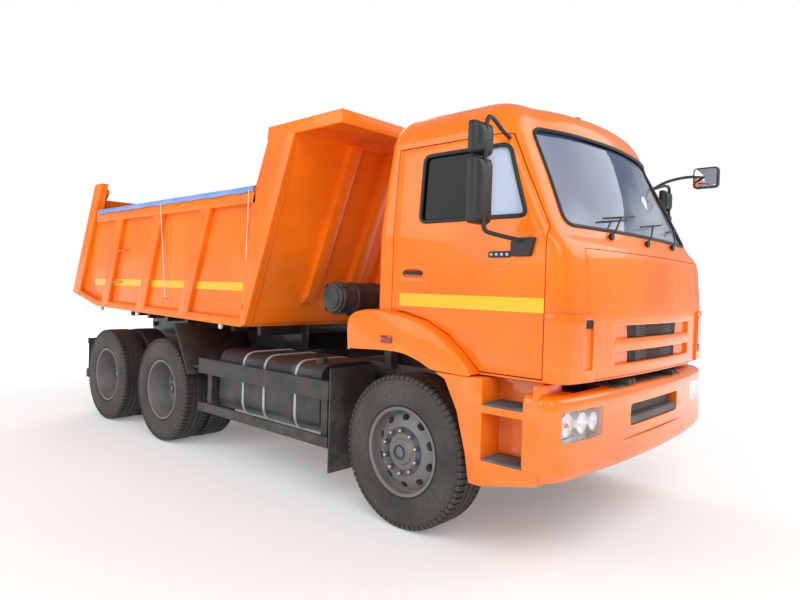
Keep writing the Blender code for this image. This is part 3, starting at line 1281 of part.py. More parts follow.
def build_hoist(truck):
    """Telescopic hoist: a barrel on trunnions and four stages, each inside the one before."""
    barrel = pivot("hoist_trunnion", (0, HOIST_Y, HOIST_Z), truck)
    place = (0, HOIST_Y, 0)
    top = HOIST_TOP - STAGE_LIP * len(STAGE_RADII)
    bore = STAGE_RADII[1] + GAP
    outer = STAGE_RADII[0]
    outline = [(HOIST_LOW, 0), (HOIST_LOW, outer), (top, outer), (top, bore), (HOIST_LOW + STAGE_WALL, bore),
               (HOIST_LOW + STAGE_WALL, 0)]
    pins = [cylinder("X", (0, HOIST_Y, HOIST_Z), TRUNNION_RADIUS, side * (outer - STAGE_WALL / 2),
                     side * TRUNNION_HALF) for _, side in SIDES]
    piece("hoist_barrel", turned(outline, False, PIN_SIDES, "Z", place), barrel, [("UNION", pins)], DARK, 0.5, 0.3)
    carrier = barrel
    for number, radius in enumerate(STAGE_RADII[1:], 1):
        carrier = pivot(f"hoist_slide_{number}", (0, HOIST_Y, HOIST_Z), carrier)
        low = HOIST_LOW + STAGE_WALL + GAP + (STAGE_WALL / 2 + GAP) * (number - 1)
        top = HOIST_TOP - STAGE_LIP * (len(STAGE_RADII) - number)
        if number < len(STAGE_RADII) - 1:
            bore = STAGE_RADII[number + 1] + GAP
            outline = [(low, 0), (low, radius), (top, radius), (top, bore), (low + STAGE_WALL / 2, bore),
                       (low + STAGE_WALL / 2, 0)]
            piece(f"hoist_stage_{number}", turned(outline, False, PIN_SIDES, "Z", place), carrier, (), STEEL, 0.25, 0.9)
        else:
            eye = cylinder("X", (0, HOIST_Y, HOIST_EYE_Z), HOIST_EYE_RADIUS, -HOIST_EYE_HALF, HOIST_EYE_HALF)
            outline = [(low, 0), (low, radius), (HOIST_EYE_Z, radius), (HOIST_EYE_Z, 0)]
            piece(f"hoist_stage_{number}", turned(outline, False, PIN_SIDES, "Z", place), carrier, [("UNION", [eye])],
                  STEEL, 0.25, 0.9)


# Side equipment

def build_side_guard(side_name, side, truck):
    outer, inner = side * GUARD_X, side * (GUARD_X - GUARD_T)
    web = side * (RAIL_HALF + GAP)
    rails = [box((outer, GUARD_FRONT, low), (inner, GUARD_REAR, high))
             for low, high in ((UPPER_GUARD_LOW, UPPER_GUARD_TOP), (LOWER_GUARD_LOW, LOWER_GUARD_TOP))]
    posts, outriggers = [], []
    for y in (GUARD_POST_FRONT, GUARD_POST_REAR):
        posts.append(box((inner + side * BITE, y - GUARD_POST_HALF, LOWER_GUARD_LOW),
                         (inner - side * GUARD_T, y + GUARD_POST_HALF, UPPER_GUARD_TOP)))
        outriggers.append(box((inner, y - OUTRIGGER_HALF, UPPER_GUARD_LOW + OUTRIGGER_HALF),
                              (web, y + OUTRIGGER_HALF, UPPER_GUARD_LOW + OUTRIGGER_HALF * 3)))
    flap = box((outer, FLAP_Y, FLAP_LOW), (side * FLAP_INNER, FLAP_Y + FLAP_T, FLAP_TOP))
    hanger = box((side * (FLAP_INNER + GUARD_T), FLAP_Y + BITE, UPPER_GUARD_LOW + OUTRIGGER_HALF),
                 (side * (FLAP_INNER + GUARD_T * 3), GUARD_POST_FRONT, UPPER_GUARD_LOW + OUTRIGGER_HALF * 3))
    plate = [(PLATE_LOW_Y, PLATE_LOW_Z), (PLATE_TOP_Y, PLATE_TOP_Z), (PLATE_TOP_Y - PLATE_T, PLATE_TOP_Z),
             (PLATE_LOW_Y - PLATE_T, PLATE_LOW_Z)]
    mudguard = prism(plate, "X", side * (GUARD_X + GUARD_T), side * (BEARER_X + BEARER_HALF + CLEAR))
    link = box((inner + side * BITE, GUARD_REAR - BITE, UPPER_GUARD_LOW + OUTRIGGER_HALF),
               (inner - side * GUARD_T, PLATE_LOW_Y + PLATE_T, UPPER_GUARD_LOW + OUTRIGGER_HALF * 2))
    piece(f"side_guard_{side_name}", rails[0], truck,
          [("UNION", [rails[1], flap, hanger, mudguard, link] + posts + outriggers)], DARK, 0.6, 0)


def build_tank(truck):
    section = rounded([(-TANK_OUTER, TANK_LOW), (-TANK_INNER, TANK_LOW), (-TANK_INNER, TANK_TOP),
                       (-TANK_OUTER, TANK_TOP)], TANK_RADIUS, 2)
    grow = STRAP_T
    band = rounded([(-TANK_OUTER - grow, TANK_LOW - grow), (-TANK_INNER + grow, TANK_LOW - grow),
                    (-TANK_INNER + grow, TANK_TOP + grow), (-TANK_OUTER - grow, TANK_TOP + grow)],
                   TANK_RADIUS + grow, 2)
    joined = []
    for share in STRAP_PLACES_SHARE:
        y = TANK_FRONT + (TANK_REAR - TANK_FRONT) * share
        joined.append(prism(band, "Y", y - STRAP_HALF, y + STRAP_HALF))
        joined.append(box((-TANK_INNER - BITE, y - STRAP_HALF, UPPER_GUARD_LOW), (-RAIL_HALF - GAP, y + STRAP_HALF,
                                                                            UPPER_GUARD_TOP)))
    piece("fuel_tank", prism(section, "Y", TANK_FRONT, TANK_REAR), truck, [("UNION", joined)], (0.05, 0.052, 0.055), 0.5, 0.3)


def build_left_equipment(truck):
    """Battery box with two air tanks behind it on one bracket."""
    bracket = box((RAIL_HALF + GAP, BOX_FRONT, UPPER_GUARD_LOW), (TANK_INNER + BITE, AIR_TANK_REAR, UPPER_GUARD_TOP))
    tanks = []
    for x in (TANK_INNER + AIR_TANK_RADIUS - BITE, TANK_INNER + AIR_TANK_RADIUS * 3 - BITE * 2):
        tanks.append(cylinder("Y", (x, 0, UPPER_GUARD_LOW), AIR_TANK_RADIUS, BOX_REAR - BITE, AIR_TANK_REAR, 16))
    piece("battery_box", box((TANK_INNER, BOX_FRONT, TANK_LOW), (TANK_OUTER, BOX_REAR, TANK_TOP)), truck,
          [("UNION", [bracket] + tanks)], DARK, 0.5, 0.1)


def build_filter(truck):
    canister = cylinder("X", (0, FILTER_Y, FILTER_Z), FILTER_RADIUS, -FILTER_OUTER, -FILTER_INNER, 20)
    x = -RAIL_HALF + RAIL_T
    post = box((x, FILTER_Y - FILTER_POST_HALF, RAIL_TOP + GAP),
               (x - FILTER_POST_HALF * 2, FILTER_Y + FILTER_POST_HALF, FILTER_Z - FILTER_RADIUS + BITE * 4))
    shelf = box((x, FILTER_Y - FILTER_POST_HALF, FILTER_Z - FILTER_RADIUS - BITE * 2),
                (-FILTER_OUTER + FILTER_RADIUS, FILTER_Y + FILTER_POST_HALF, FILTER_Z - FILTER_RADIUS + BITE * 4))
    duct = bar((-FILTER_INNER - BITE * 4, FILTER_Y, FILTER_Z), (FILTER_INNER / 2, FILTER_Y, FILTER_Z), FILTER_RADIUS / 2, 10)
    piece("air_filter", canister, truck, [("UNION", [post, shelf, duct])], (0.03, 0.03, 0.033), 0.45, 0)


def build_underrun(truck):
    y = UNDERRUN_Y
    bar_low = box((-UNDERRUN_HALF, y, UNDERRUN_LOW), (UNDERRUN_HALF, y + UNDERRUN_T, UNDERRUN_LOW + UNDERRUN_HEIGHT))
    flap_bar = box((-UNDERRUN_HALF, y, FLAP_BAR_Z - UNDERRUN_T), (UNDERRUN_HALF, y + UNDERRUN_T / 2, FLAP_BAR_Z))
    joined = [flap_bar]
    for _, side in SIDES:
        x = side * (RAIL_HALF - RAIL_FLANGE / 2)
        joined.append(box((x - side * RAIL_FLANGE / 2, y - BITE, UNDERRUN_LOW + BITE), (x + side * RAIL_FLANGE / 2,
                                                                                     y + UNDERRUN_T / 3, FLAP_BAR_Z - BITE)))
        joined.append(box((x - side * RAIL_FLANGE / 2, FRAME_REAR + GAP, FLAP_BAR_Z - UNDERRUN_T * 2),
                          (x + side * RAIL_FLANGE / 2, y + BITE, FLAP_BAR_Z - BITE * 2)))
        joined.append(box((side * REAR_FLAP_INNER, y + BITE, REAR_FLAP_LOW), (side * UNDERRUN_HALF - side * BITE, y + BITE + FLAP_T,
                                                                        FLAP_BAR_Z - BITE)))
    piece("underrun", bar_low, truck, [("UNION", joined)], DARK, 0.6, 0)


def clear_scene():
    for obj in list(bpy.data.objects):
        bpy.data.objects.remove(obj)


def build_truck():
    clear_scene()
    truck = bpy.data.objects.new("truck", None)
    bpy.context.scene.collection.objects.link(truck)
    truck.location.y = -(NOSE_Y + TAIL_Y) / 2
    knuckles = build_steering(truck)
    build_wheels(truck, knuckles)
    build_front_axle(truck)
    build_frame(truck)
    build_front_springs(truck)
    build_rear_axles(truck)
    build_engine(truck)
    build_bumper(truck)
    build_hoist(truck)
    build_tank(truck)
    build_left_equipment(truck)
    build_filter(truck)
    build_underrun(truck)
    cab = pivot("cab_hinge", (0, CAB_PIVOT_Y, CAB_PIVOT_Z), truck)
    build_cab_shell(cab)
    build_windshield(cab)
    build_cab_inside(cab)
    bed = pivot("bed_hinge", (0, BED_PIVOT_Y, BED_PIVOT_Z), truck)
    build_bed(bed)
    build_cover(bed)
    build_tailgate(pivot("gate_hinge", (0, GATE_PIVOT_Y, GATE_PIVOT_Z), bed))
    for side_name, side in SIDES:
        build_side_guard(side_name, side, truck)
        door = pivot(f"door_hinge_{side_name}", (side * CAB_HALF, DOOR_FRONT + CLEAR / 2, DOOR_LOW), cab)
        build_door(side_name, side, door)
        build_mirror(side_name, side, door)


build_truck()
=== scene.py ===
import math

import bmesh
import bpy
import numpy as np
from mathutils import Matrix, Vector
from mathutils.bvhtree import BVHTree


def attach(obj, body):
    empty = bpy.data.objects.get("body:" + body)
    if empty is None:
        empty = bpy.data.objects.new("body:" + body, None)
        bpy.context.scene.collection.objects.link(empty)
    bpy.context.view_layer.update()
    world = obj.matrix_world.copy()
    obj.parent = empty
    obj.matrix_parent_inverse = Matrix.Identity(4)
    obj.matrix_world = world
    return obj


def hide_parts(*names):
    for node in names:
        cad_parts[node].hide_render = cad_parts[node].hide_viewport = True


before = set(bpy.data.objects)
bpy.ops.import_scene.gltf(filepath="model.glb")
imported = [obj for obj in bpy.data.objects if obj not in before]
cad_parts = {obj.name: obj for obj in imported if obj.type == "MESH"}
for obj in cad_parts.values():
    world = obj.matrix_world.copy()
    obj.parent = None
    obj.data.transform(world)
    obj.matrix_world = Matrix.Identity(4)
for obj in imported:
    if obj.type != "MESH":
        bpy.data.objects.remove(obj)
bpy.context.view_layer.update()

# ---------------------------------------------------------------- the yard and the camera
# The truck stands on a pale yard under an even sky, seen from its front right corner at the
# height of a standing person. Soft panels of light hang over its front and its right side.

CAMERA_PLACE = Vector((-4.16698, -4.87368, 1.60529))
CAMERA_YAW, CAMERA_PITCH, CAMERA_ROLL = 47.4915, -1.154, 1.6363
CAMERA_LENS = 27.70
YARD_RADIUS = 70.0
SKY_LIGHT = 0.46
PANELS = (
    ((-7.5, -9.0, 8.5), (0.0, -1.0, 1.2), 9.0, 640),
    ((-10.5, 3.5, 6.0), (0.0, 0.5, 1.2), 8.0, 380),
    ((6.0, -8.0, 7.0), (0.0, -2.0, 1.2), 7.0, 300),
    ((5.0, 9.0, 8.0), (0.0, 2.0, 1.4), 8.0, 300),
)


def look_along(yaw, pitch, roll):
    """The turn of a camera from its three angles in degrees."""
    yaw, pitch, roll = (math.radians(a) for a in (yaw, pitch, roll))
    ahead = Vector((math.sin(yaw) * math.cos(pitch), math.cos(yaw) * math.cos(pitch), math.sin(pitch)))
    right = Vector((math.cos(yaw), -math.sin(yaw), 0))
    up = right.cross(ahead)
    right, up = right * math.cos(roll) + up * math.sin(roll), up * math.cos(roll) - right * math.sin(roll)
    return Matrix((right, up, -ahead)).transposed()


camera = bpy.data.objects.new("camera", bpy.data.cameras.new("camera"))
bpy.context.scene.collection.objects.link(camera)
camera.matrix_world = Matrix.Translation(CAMERA_PLACE) @ look_along(CAMERA_YAW, CAMERA_PITCH, CAMERA_ROLL).to_4x4()
camera.data.lens = CAMERA_LENS
camera.data.sensor_width = 36
camera.data.clip_end = 300
bpy.context.scene.camera = camera
bpy.context.scene.view_settings.view_transform = "Standard"


class Wire:
    """A shader socket that can be added, multiplied and compared like a number."""

    def __init__(self, socket):
        self.socket = socket

    def node(self, kind, settings=None, sockets=None, out=0):
        """Adds a node: its settings first, then the values or wires of its sockets."""
        tree = self.socket.id_data
        node = tree.nodes.new(kind)
        for key, value in (settings or {}).items():
            setattr(node, key, value)
        for key, value in (sockets or {}).items():
            if isinstance(value, Wire):
                tree.links.new(value.socket, node.inputs[key])
            else:
                node.inputs[key].default_value = value
        return Wire(node.outputs[out])

    def math(self, operation, *values):
        return self.node("ShaderNodeMath", {"operation": operation}, dict(enumerate(values)))

    def __add__(self, other): return self.math("ADD", self, other)
    def __radd__(self, other): return self.math("ADD", other, self)
    def __sub__(self, other): return self.math("SUBTRACT", self, other)
    def __rsub__(self, other): return self.math("SUBTRACT", other, self)
    def __mul__(self, other): return self.math("MULTIPLY", self, other)
    def __rmul__(self, other): return self.math("MULTIPLY", other, self)
    def __abs__(self): return self.math("ABSOLUTE", self)

    def fade(self, low, high):
        """0 below low and 1 above high, with a soft step between."""
        return self.node("ShaderNodeMapRange", {"interpolation_type": "SMOOTHSTEP"},
                         {"Value": self, "From Min": low, "From Max": high})

    def within(self, low, high, soft=0.0015):
        """1 between two values, with soft ends."""
        return self.fade(low - soft, low + soft) * (1 - self.fade(high - soft, high + soft))

    def mix(self, first, second):
        """A colour between two, by this mask."""
        first, second = ((*c, 1) if isinstance(c, tuple) else c for c in (first, second))
        return self.node("ShaderNodeMix", {"data_type": "RGBA"}, {0: self, 6: first, 7: second}, 2)

    def noise(self, scale, detail=4.0):
        """Cloudy noise on these coordinates."""
        return self.node("ShaderNodeTexNoise", {}, {"Vector": self, "Scale": scale, "Detail": detail})

    def bands(self, direction, scale, distortion):
        """Soft parallel bands across these coordinates."""
        return self.node("ShaderNodeTexWave", {"bands_direction": direction},
                         {"Vector": self, "Scale": scale, "Distortion": distortion})

    def bump(self, strength, distance):
        """A normal that shows this height."""
        return self.node("ShaderNodeBump", {}, {"Strength": strength, "Distance": distance, "Height": self})

    def parts(self):
        """The three parts of a vector."""
        split = self.node("ShaderNodeSeparateXYZ", {}, {0: self})
        return [Wire(o) for o in split.socket.node.outputs]


def srgb(*parts):
    """A colour from the values that a picture program shows, as light."""
    return tuple((p / 255 / 12.92) if p <= 10 else ((p / 255 + 0.055) / 1.055) ** 2.4 for p in parts)


def bare_material(name):
    """An empty material's shader node and the wire of its object coordinates."""
    material = bpy.data.materials.new(name)
    material.use_nodes = True
    shader = material.node_tree.nodes["Principled BSDF"]
    place = material.node_tree.nodes.new("ShaderNodeTexCoord")
    return material, shader, Wire(place.outputs["Object"])


def plug(shader, socket, value):
    """Sets a shader's socket to a value, or links a wire to it."""
    if isinstance(value, Wire):
        shader.id_data.links.new(value.socket, shader.inputs[socket])
    else:
        shader.inputs[socket].default_value = (*value, 1) if isinstance(value, tuple) else value


yard_finish, yard_shader, yard_place = bare_material("yard_ground")
from_middle = yard_place.node("ShaderNodeVectorMath", {"operation": "LENGTH"}, {0: yard_place}, 1)
far = from_middle.fade(4.5, 9.5)
plug(yard_shader, "Base Color", (0.9, 0.9, 0.9))
plug(yard_shader, "Roughness", 0.95)
plug(yard_shader, "Emission Color", far.mix((0.2, 0.2, 0.2), (1.0, 1.0, 1.0)))
plug(yard_shader, "Emission Strength", 1.0)

sky = bpy.data.worlds.new("sky")
bpy.context.scene.world = sky
sky.use_nodes = True
sky_shader = sky.node_tree.nodes["Background"]
sky_wire = Wire(sky.node_tree.nodes.new("ShaderNodeLightPath").outputs["Is Camera Ray"])
sky_rays = sky_wire.socket.node.outputs
seen_as_it_is = sky_wire.math("MAXIMUM", sky_wire, Wire(sky_rays["Is Transmission Ray"]))
sky.node_tree.links.new((seen_as_it_is * (1.0 - SKY_LIGHT) + SKY_LIGHT).socket, sky_shader.inputs["Strength"])
sky_shader.inputs["Color"].default_value = (1, 1, 1, 1)

yard_bm = bmesh.new()
bmesh.ops.create_circle(yard_bm, cap_ends=True, segments=128, radius=YARD_RADIUS)
yard_mesh = bpy.data.meshes.new("yard")
yard_bm.to_mesh(yard_mesh)
yard = bpy.data.objects.new("yard", yard_mesh)
bpy.context.scene.collection.objects.link(yard)
yard.data.materials.append(yard_finish)

for number, (place, aim, width, power) in enumerate(PANELS):
    lamp = bpy.data.objects.new(f"panel_{number}", bpy.data.lights.new(f"panel_{number}", "AREA"))
    bpy.context.scene.collection.objects.link(lamp)
    lamp.data.shape, lamp.data.size, lamp.data.energy = "DISK", width, power
    lamp.location = place
    lamp.rotation_euler = (Vector(aim) - Vector(place)).to_track_quat("-Z", "Y").to_euler()

# ---------------------------------------------------------------- tyres
# Ten steel-belted rubber tyres with a ribbed crown and square shoulder blocks. The rubber is
# moulded in one piece; dry mud dust sits on the walls and in the grooves.

FRONT_AXLE_Y = -2.1475
TYRE_RADIUS, TYRE_HALF, BEAD_HALF = 0.515, 0.1395, 0.1127
AXLE_YS = {2: 3.19, 3: 4.51}
FRONT_TRACK_HALF, REAR_TRACK_HALF, TWIN_HALF = 1.0215, 0.945, 0.156
SHOULDER_BLOCKS, BLOCK_HALF = 72, 0.0165
SHARP_ANGLE = 32
HALF_TURN = Matrix.Rotation(math.pi, 3, "Z")
RUBBER = srgb(47, 45, 46)
TYRE_DUST = srgb(112, 102, 92)
SIDES = (("right", -1), ("left", 1))


def along(axis, a, b, depth):
    """A point from two coordinates across an axis and one along it."""
    return {"X": (depth, a, b), "Y": (a, depth, b), "Z": (a, b, depth)}[axis]


def lofted(rings, caps=True, closed=False):
    """Rings of points, or single points, joined into one body."""
    bm = bmesh.new()
    loops = [[bm.verts.new(p) for p in ring] for ring in rings]
    if caps:
        bm.faces.new(loops[0]), bm.faces.new(loops[-1])
    for ring, other in zip(loops, loops[1:] + (loops[:1] if closed else [])):
        for i in range(max(len(ring), len(other))):
            four = [loop[k % len(loop)] for loop, k in ((ring, i), (ring, i + 1), (other, i + 1), (other, i))]
            corners = list(dict.fromkeys(four))
            if len(corners) > 2:
                bm.faces.new(corners)
    bmesh.ops.recalc_face_normals(bm, faces=bm.faces)
    return bm


def turned(outline, sides, axis="X", centre=(0, 0, 0), closed=False):
    """An outline of (along, radius) points turned round an axis."""
    turns = [2 * math.pi * i / sides for i in range(sides)]
    return lofted([[Vector(along(axis, radius * math.sin(t), -radius * math.cos(t), depth)) + Vector(centre)
                    for t in (turns if radius else turns[:1])] for depth, radius in outline], False, closed)


def prism(outline, axis, low, high):
    """An outline drawn out along an axis."""
    return lofted([[along(axis, a, b, depth) for a, b in outline] for depth in (low, high)])


def block(low, high):
    """A block between two corners."""
    (x0, y0, z0), (x1, y1, z1) = low, high
    return prism([(y0, z0), (y1, z0), (y1, z1), (y0, z1)], "X", x0, x1)


def together(shapes):
    """Several shapes in one mesh."""
    whole = bmesh.new()
    for bm in shapes:
        mesh = bpy.data.meshes.new("part")
        bm.to_mesh(mesh)
        bm.free()
        whole.from_mesh(mesh)
        bpy.data.meshes.remove(mesh)
    return whole


def moved(bm, place=(0, 0, 0), turn=None):
    """A shape turned and then moved."""
    matrix = Matrix.Translation(place) @ (turn or Matrix()).to_4x4()
    bmesh.ops.transform(bm, matrix=matrix, verts=bm.verts)
    return bm


def plain_object(name, bm):
    """An object that holds a shape."""
    mesh = bpy.data.meshes.new(name)
    bm.to_mesh(mesh)
    bm.free()
    obj = bpy.data.objects.new(name, mesh)
    bpy.context.scene.collection.objects.link(obj)
    return obj


def settled(obj):
    """Applies an object's modifiers and clears them."""
    bpy.context.view_layer.update()
    mesh = bpy.data.meshes.new_from_object(obj.evaluated_get(bpy.context.evaluated_depsgraph_get()))
    obj.modifiers.clear()
    old, obj.data = obj.data, mesh
    bpy.data.meshes.remove(old)
    return obj


def taken(obj):
    """An object's shape, without the object."""
    bm = bmesh.new()
    bm.from_mesh(obj.data)
    bpy.data.objects.remove(obj)
    return bm


def cut(obj, shapes, operation="DIFFERENCE"):
    """Cuts shapes out of an object, or keeps what it shares with them."""
    for shape in shapes:
        cutter = plain_object("cutter", shape)
        modifier = obj.modifiers.new("cut", "BOOLEAN")
        modifier.operation, modifier.object, modifier.solver = operation, cutter, "EXACT"
        settled(obj)
        bpy.data.objects.remove(cutter)
    return obj


def bevelled(obj, width, steps=2):
    """Adds a bevel to an object's sharp edges."""
    modifier = obj.modifiers.new("bevel", "BEVEL")
    modifier.width, modifier.segments, modifier.limit_method = width, steps, "ANGLE"
    modifier.angle_limit = math.radians(SHARP_ANGLE)
    return obj


def piece(name, bm, finish, body, slot, node=None, cuts=(), keeps=(), wall=0.0, bevel=0.0, steps=2, rounds=0,
          smooth=35):
    """A finished piece: cut, walled, softened, shaded, painted and set on its body, in place of a CAD node."""
    obj = cut(cut(plain_object(name, bm), cuts), keeps, "INTERSECT")
    if wall:
        modifier = obj.modifiers.new("wall", "SOLIDIFY")
        modifier.thickness, modifier.offset, modifier.use_even_offset = wall, -1, True
    if bevel:
        bevelled(obj, bevel, steps)
    if rounds:
        modifier = obj.modifiers.new("round", "SUBSURF")
        modifier.levels = modifier.render_levels = rounds
    if obj.modifiers:
        settled(obj)
    obj.data.transform(Matrix.Translation((0, FRONT_AXLE_Y, 0)))
    obj.data.shade_smooth()
    obj.data.set_sharp_from_angle(angle=math.radians(smooth))
    obj.data.materials.clear()
    obj.data.materials.append(finish)
    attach(obj, body)
    if node:
        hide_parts(node)
    return obj


def new_tree(name, inputs):
    """A Geometry Nodes tree with its mesh input, its named inputs and its two ends."""
    tree = bpy.data.node_groups.new(name, "GeometryNodeTree")
    tree.interface.new_socket("Geometry", in_out="INPUT", socket_type="NodeSocketGeometry")
    for label, kind in inputs:
        tree.interface.new_socket(label, in_out="INPUT", socket_type=kind)
    tree.interface.new_socket("Geometry", in_out="OUTPUT", socket_type="NodeSocketGeometry")
    return tree, tree.nodes.new("NodeGroupInput"), tree.nodes.new("NodeGroupOutput")


def tree_node(tree, kind, links=None, **settings):
    """Adds a node with its settings, and the links or values of its inputs."""
    node = tree.nodes.new(kind)
    for key, value in settings.items():
        setattr(node, key, value)
    for key, value in (links or {}).items():
        if isinstance(value, bpy.types.NodeSocket):
            tree.links.new(value, node.inputs[key])
        else:
            node.inputs[key].default_value = value
    return node


def ends(tree, points, start, finish_end, **rotation):
    """Copies of the tree's mesh on points, made real and painted."""
    links = {"Points": points, "Instance": start.outputs["Geometry"]}
    links.update(rotation)
    copies = tree_node(tree, "GeometryNodeInstanceOnPoints", links)
    real = tree_node(tree, "GeometryNodeRealizeInstances", {0: copies.outputs[0]})
    painted = tree_node(tree, "GeometryNodeSetMaterial", {"Geometry": real.outputs[0],
                                                          "Material": start.outputs["Finish"]})
    tree.links.new(painted.outputs[0], finish_end.inputs[0])


ring_tree, ring_start, ring_end = new_tree("ring_of_copies", (("Count", "NodeSocketInt"),
                                                              ("Finish", "NodeSocketMaterial")))
ring_points = tree_node(ring_tree, "GeometryNodePoints", {"Count": ring_start.outputs["Count"]})
ring_index = tree_node(ring_tree, "GeometryNodeInputIndex")
ring_step = tree_node(ring_tree, "ShaderNodeMath", {0: 2 * math.pi, 1: ring_start.outputs["Count"]},
                      operation="DIVIDE")
ring_angle = tree_node(ring_tree, "ShaderNodeMath", {0: ring_index.outputs[0], 1: ring_step.outputs[0]},
                       operation="MULTIPLY")
ring_turn = tree_node(ring_tree, "ShaderNodeCombineXYZ", {"X": ring_angle.outputs[0]})
ends(ring_tree, ring_points.outputs[0], ring_start, ring_end, Rotation=ring_turn.outputs[0])

row_tree, row_start, row_end = new_tree("row_of_copies", (("Count", "NodeSocketInt"), ("Step", "NodeSocketVector"),
                                                          ("Finish", "NodeSocketMaterial")))
row_line = tree_node(row_tree, "GeometryNodeMeshLine", {"Count": row_start.outputs["Count"],
                                                        "Offset": row_start.outputs["Step"]})
ends(row_tree, row_line.outputs[0], row_start, row_end)


def repeated(bm, tree, finish, **values):
    """The shape that a tree makes from one copy of bm."""
    obj = plain_object("copy", bm)
    modifier = obj.modifiers.new("repeat", "NODES")
    modifier.node_group = tree
    names = {item.name: item.identifier for item in tree.interface.items_tree if item.in_out == "INPUT"}
    for label, value in {**values, "Finish": finish}.items():
        modifier[names[label]] = value
    return taken(settled(obj))


def set_radius(obj, centre):
    """Writes each point's distance from a wheel's axis, for the material."""
    points = np.array([v.co for v in obj.data.vertices], float).reshape(-1, 3) - np.array(centre)
    layer = obj.data.attributes.new("from_axis", "FLOAT", "POINT")
    layer.data.foreach_set("value", np.hypot(points[:, 1], points[:, 2]).astype(np.float32))


rubber, shader, place = bare_material("tyre_rubber")
radius = place.node("ShaderNodeAttribute", {"attribute_name": "from_axis"}, {}, 2)
cloud = place.noise(3.2, 6.0)
grit = place.noise(70.0, 3.0)
wall_dust = (1 - radius.fade(0.44, 0.505)) * 0.42 + 0.12
dust = (wall_dust * cloud.fade(0.28, 0.66) + radius.within(0.494, 0.503, 0.003) * 0.5) * grit.fade(0.2, 0.7)
plug(shader, "Base Color", dust.mix(RUBBER, TYRE_DUST))
plug(shader, "Roughness", 0.62 + dust * 0.3)
ridges = (radius * 900.0).math("SINE", radius * 900.0) * radius.within(0.335, 0.36, 0.003)
plug(shader, "Normal", (ridges * 0.6 + grit * 0.5).bump(0.35, 0.002))

crown = [(-0.0945, 0.5035), (-0.066, 0.5035), (-0.064, 0.5145), (-0.036, 0.515), (-0.034, 0.5035), (-0.026, 0.5035),
         (-0.024, 0.515), (0.024, 0.515)]
crown += [(-a, b) for a, b in reversed(crown[:-2])]
wall = [(BEAD_HALF, 0.2858), (BEAD_HALF, 0.2993), (0.121, 0.3065), (0.1285, 0.3135), (0.1300, 0.3145), (0.1355, 0.330),
        (0.1385, 0.352), (TYRE_HALF, 0.385), (TYRE_HALF, 0.405), (0.1384, 0.407), (0.1378, 0.430), (0.1350, 0.452),
        (0.1305, 0.470), (0.1285, 0.484), (0.1180, 0.4985), (0.0975, 0.5030)]
tyre_bm = turned([(-a, b) for a, b in wall] + crown + list(reversed(wall)), 108, closed=True)
block_outline = [(0.0965, 0.496), (0.0965, 0.5135), (0.1180, 0.5120), (0.1325, 0.4985), (0.1350, 0.4850),
                 (0.1310, 0.4760), (0.1230, 0.4860)]
block_turn = BLOCK_HALF / TYRE_RADIUS
blocks = [lofted([[(a, turn * b, b) for a, b in block_outline] for turn in (-block_turn, block_turn)]),
          block((0.068, -0.015, 0.500), (0.092, 0.015, 0.5143))]
blocks += [moved(bm.copy(), turn=HALF_TURN) for bm in blocks]
tyre_master = together([tyre_bm, repeated(together(blocks), ring_tree, rubber, Count=SHOULDER_BLOCKS)])


def wheel_shape(bm, side, x, y):
    """A copy of a wheel's shape in its place, turned half round on the right."""
    return moved(bm.copy(), (side * x, y, TYRE_RADIUS), HALF_TURN if side < 0 else None)


for side_name, side in SIDES:
    places = [(f"front_{side_name}", f"wheel_front_{side_name}", FRONT_TRACK_HALF, 0)]
    places += [(f"{number}_{side_name}_{where}", f"wheels_{number}_{side_name}", REAR_TRACK_HALF + step, y)
               for number, y in AXLE_YS.items() for where, step in (("outer", TWIN_HALF), ("inner", -TWIN_HALF))]
    for end, body, x, y in places:
        tread = piece(f"tyre_{end}_tread", wheel_shape(tyre_master, side, x, y), rubber, body, "tyre", f"tyre_{end}",
                      smooth=28)
        set_radius(tread, (side * x, y + FRONT_AXLE_Y, TYRE_RADIUS))

# ---------------------------------------------------------------- rims, nuts and hubs
# Pressed steel discs welded into rolled rims, painted grey, with hand holes. Ten nuts hold
# each disc on its cast hub; their bare studs shine, and road dust lies on all of it.

RIM_GREY = srgb(118, 118, 122)
HUB_GREY = srgb(70, 76, 88)
NUT_CIRCLE, HOLE_CIRCLE = 0.142, 0.226
NUTS, HOLES, HUB_BOLTS, HUB_CIRCLE = 10, 10, 8, 0.044
FRONT_DISC = [(0.135, 0), (0.135, 0.052), (0.131, 0.060), (0.124, 0.064), (0.122, 0.078), (0.112, 0.086),
              (0.1055, 0.092), (0.105, 0.165), (0.1035, 0.172), (0.099, 0.181), (0.064, 0.256), (0.060, 0.266),
              (0.062, 0.2715), (0.070, 0.2735), (0.117, 0.2745), (0.1225, 0.278), (0.125, 0.287), (0.1245, 0.2975),
              (0.1195, 0.2985), (0.1145, 0.2945), (0.113, 0.2855), (-0.113, 0.2855), (-0.125, 0.2985), (-0.125, 0.2735),
              (-0.0835, 0.205), (-0.0835, 0)]
TWIN_DISC = [(0.170, 0), (0.170, 0.050), (0.165, 0.060), (0.156, 0.064), (0.154, 0.076), (0.120, 0.082),
             (0.040, 0.100), (0.022, 0.112), (0.0165, 0.120), (0.016, 0.166), (0.018, 0.174), (0.024, 0.186),
             (0.048, 0.254), (0.056, 0.266), (0.068, 0.2725), (0.272, 0.2745), (0.2785, 0.278), (0.281, 0.287),
             (0.2805, 0.2975), (0.2755, 0.2985), (0.2705, 0.2945), (0.269, 0.2855), (0.043, 0.2855), (0.031, 0.2985),
             (0.031, 0.262), (-0.031, 0.262), (-0.031, 0.2985), (-0.043, 0.2855), (-0.269, 0.2855), (-0.281, 0.2985),
             (-0.281, 0.2735), (-0.055, 0.2700), (-0.055, 0.205), (-0.240, 0.205), (-0.240, 0)]


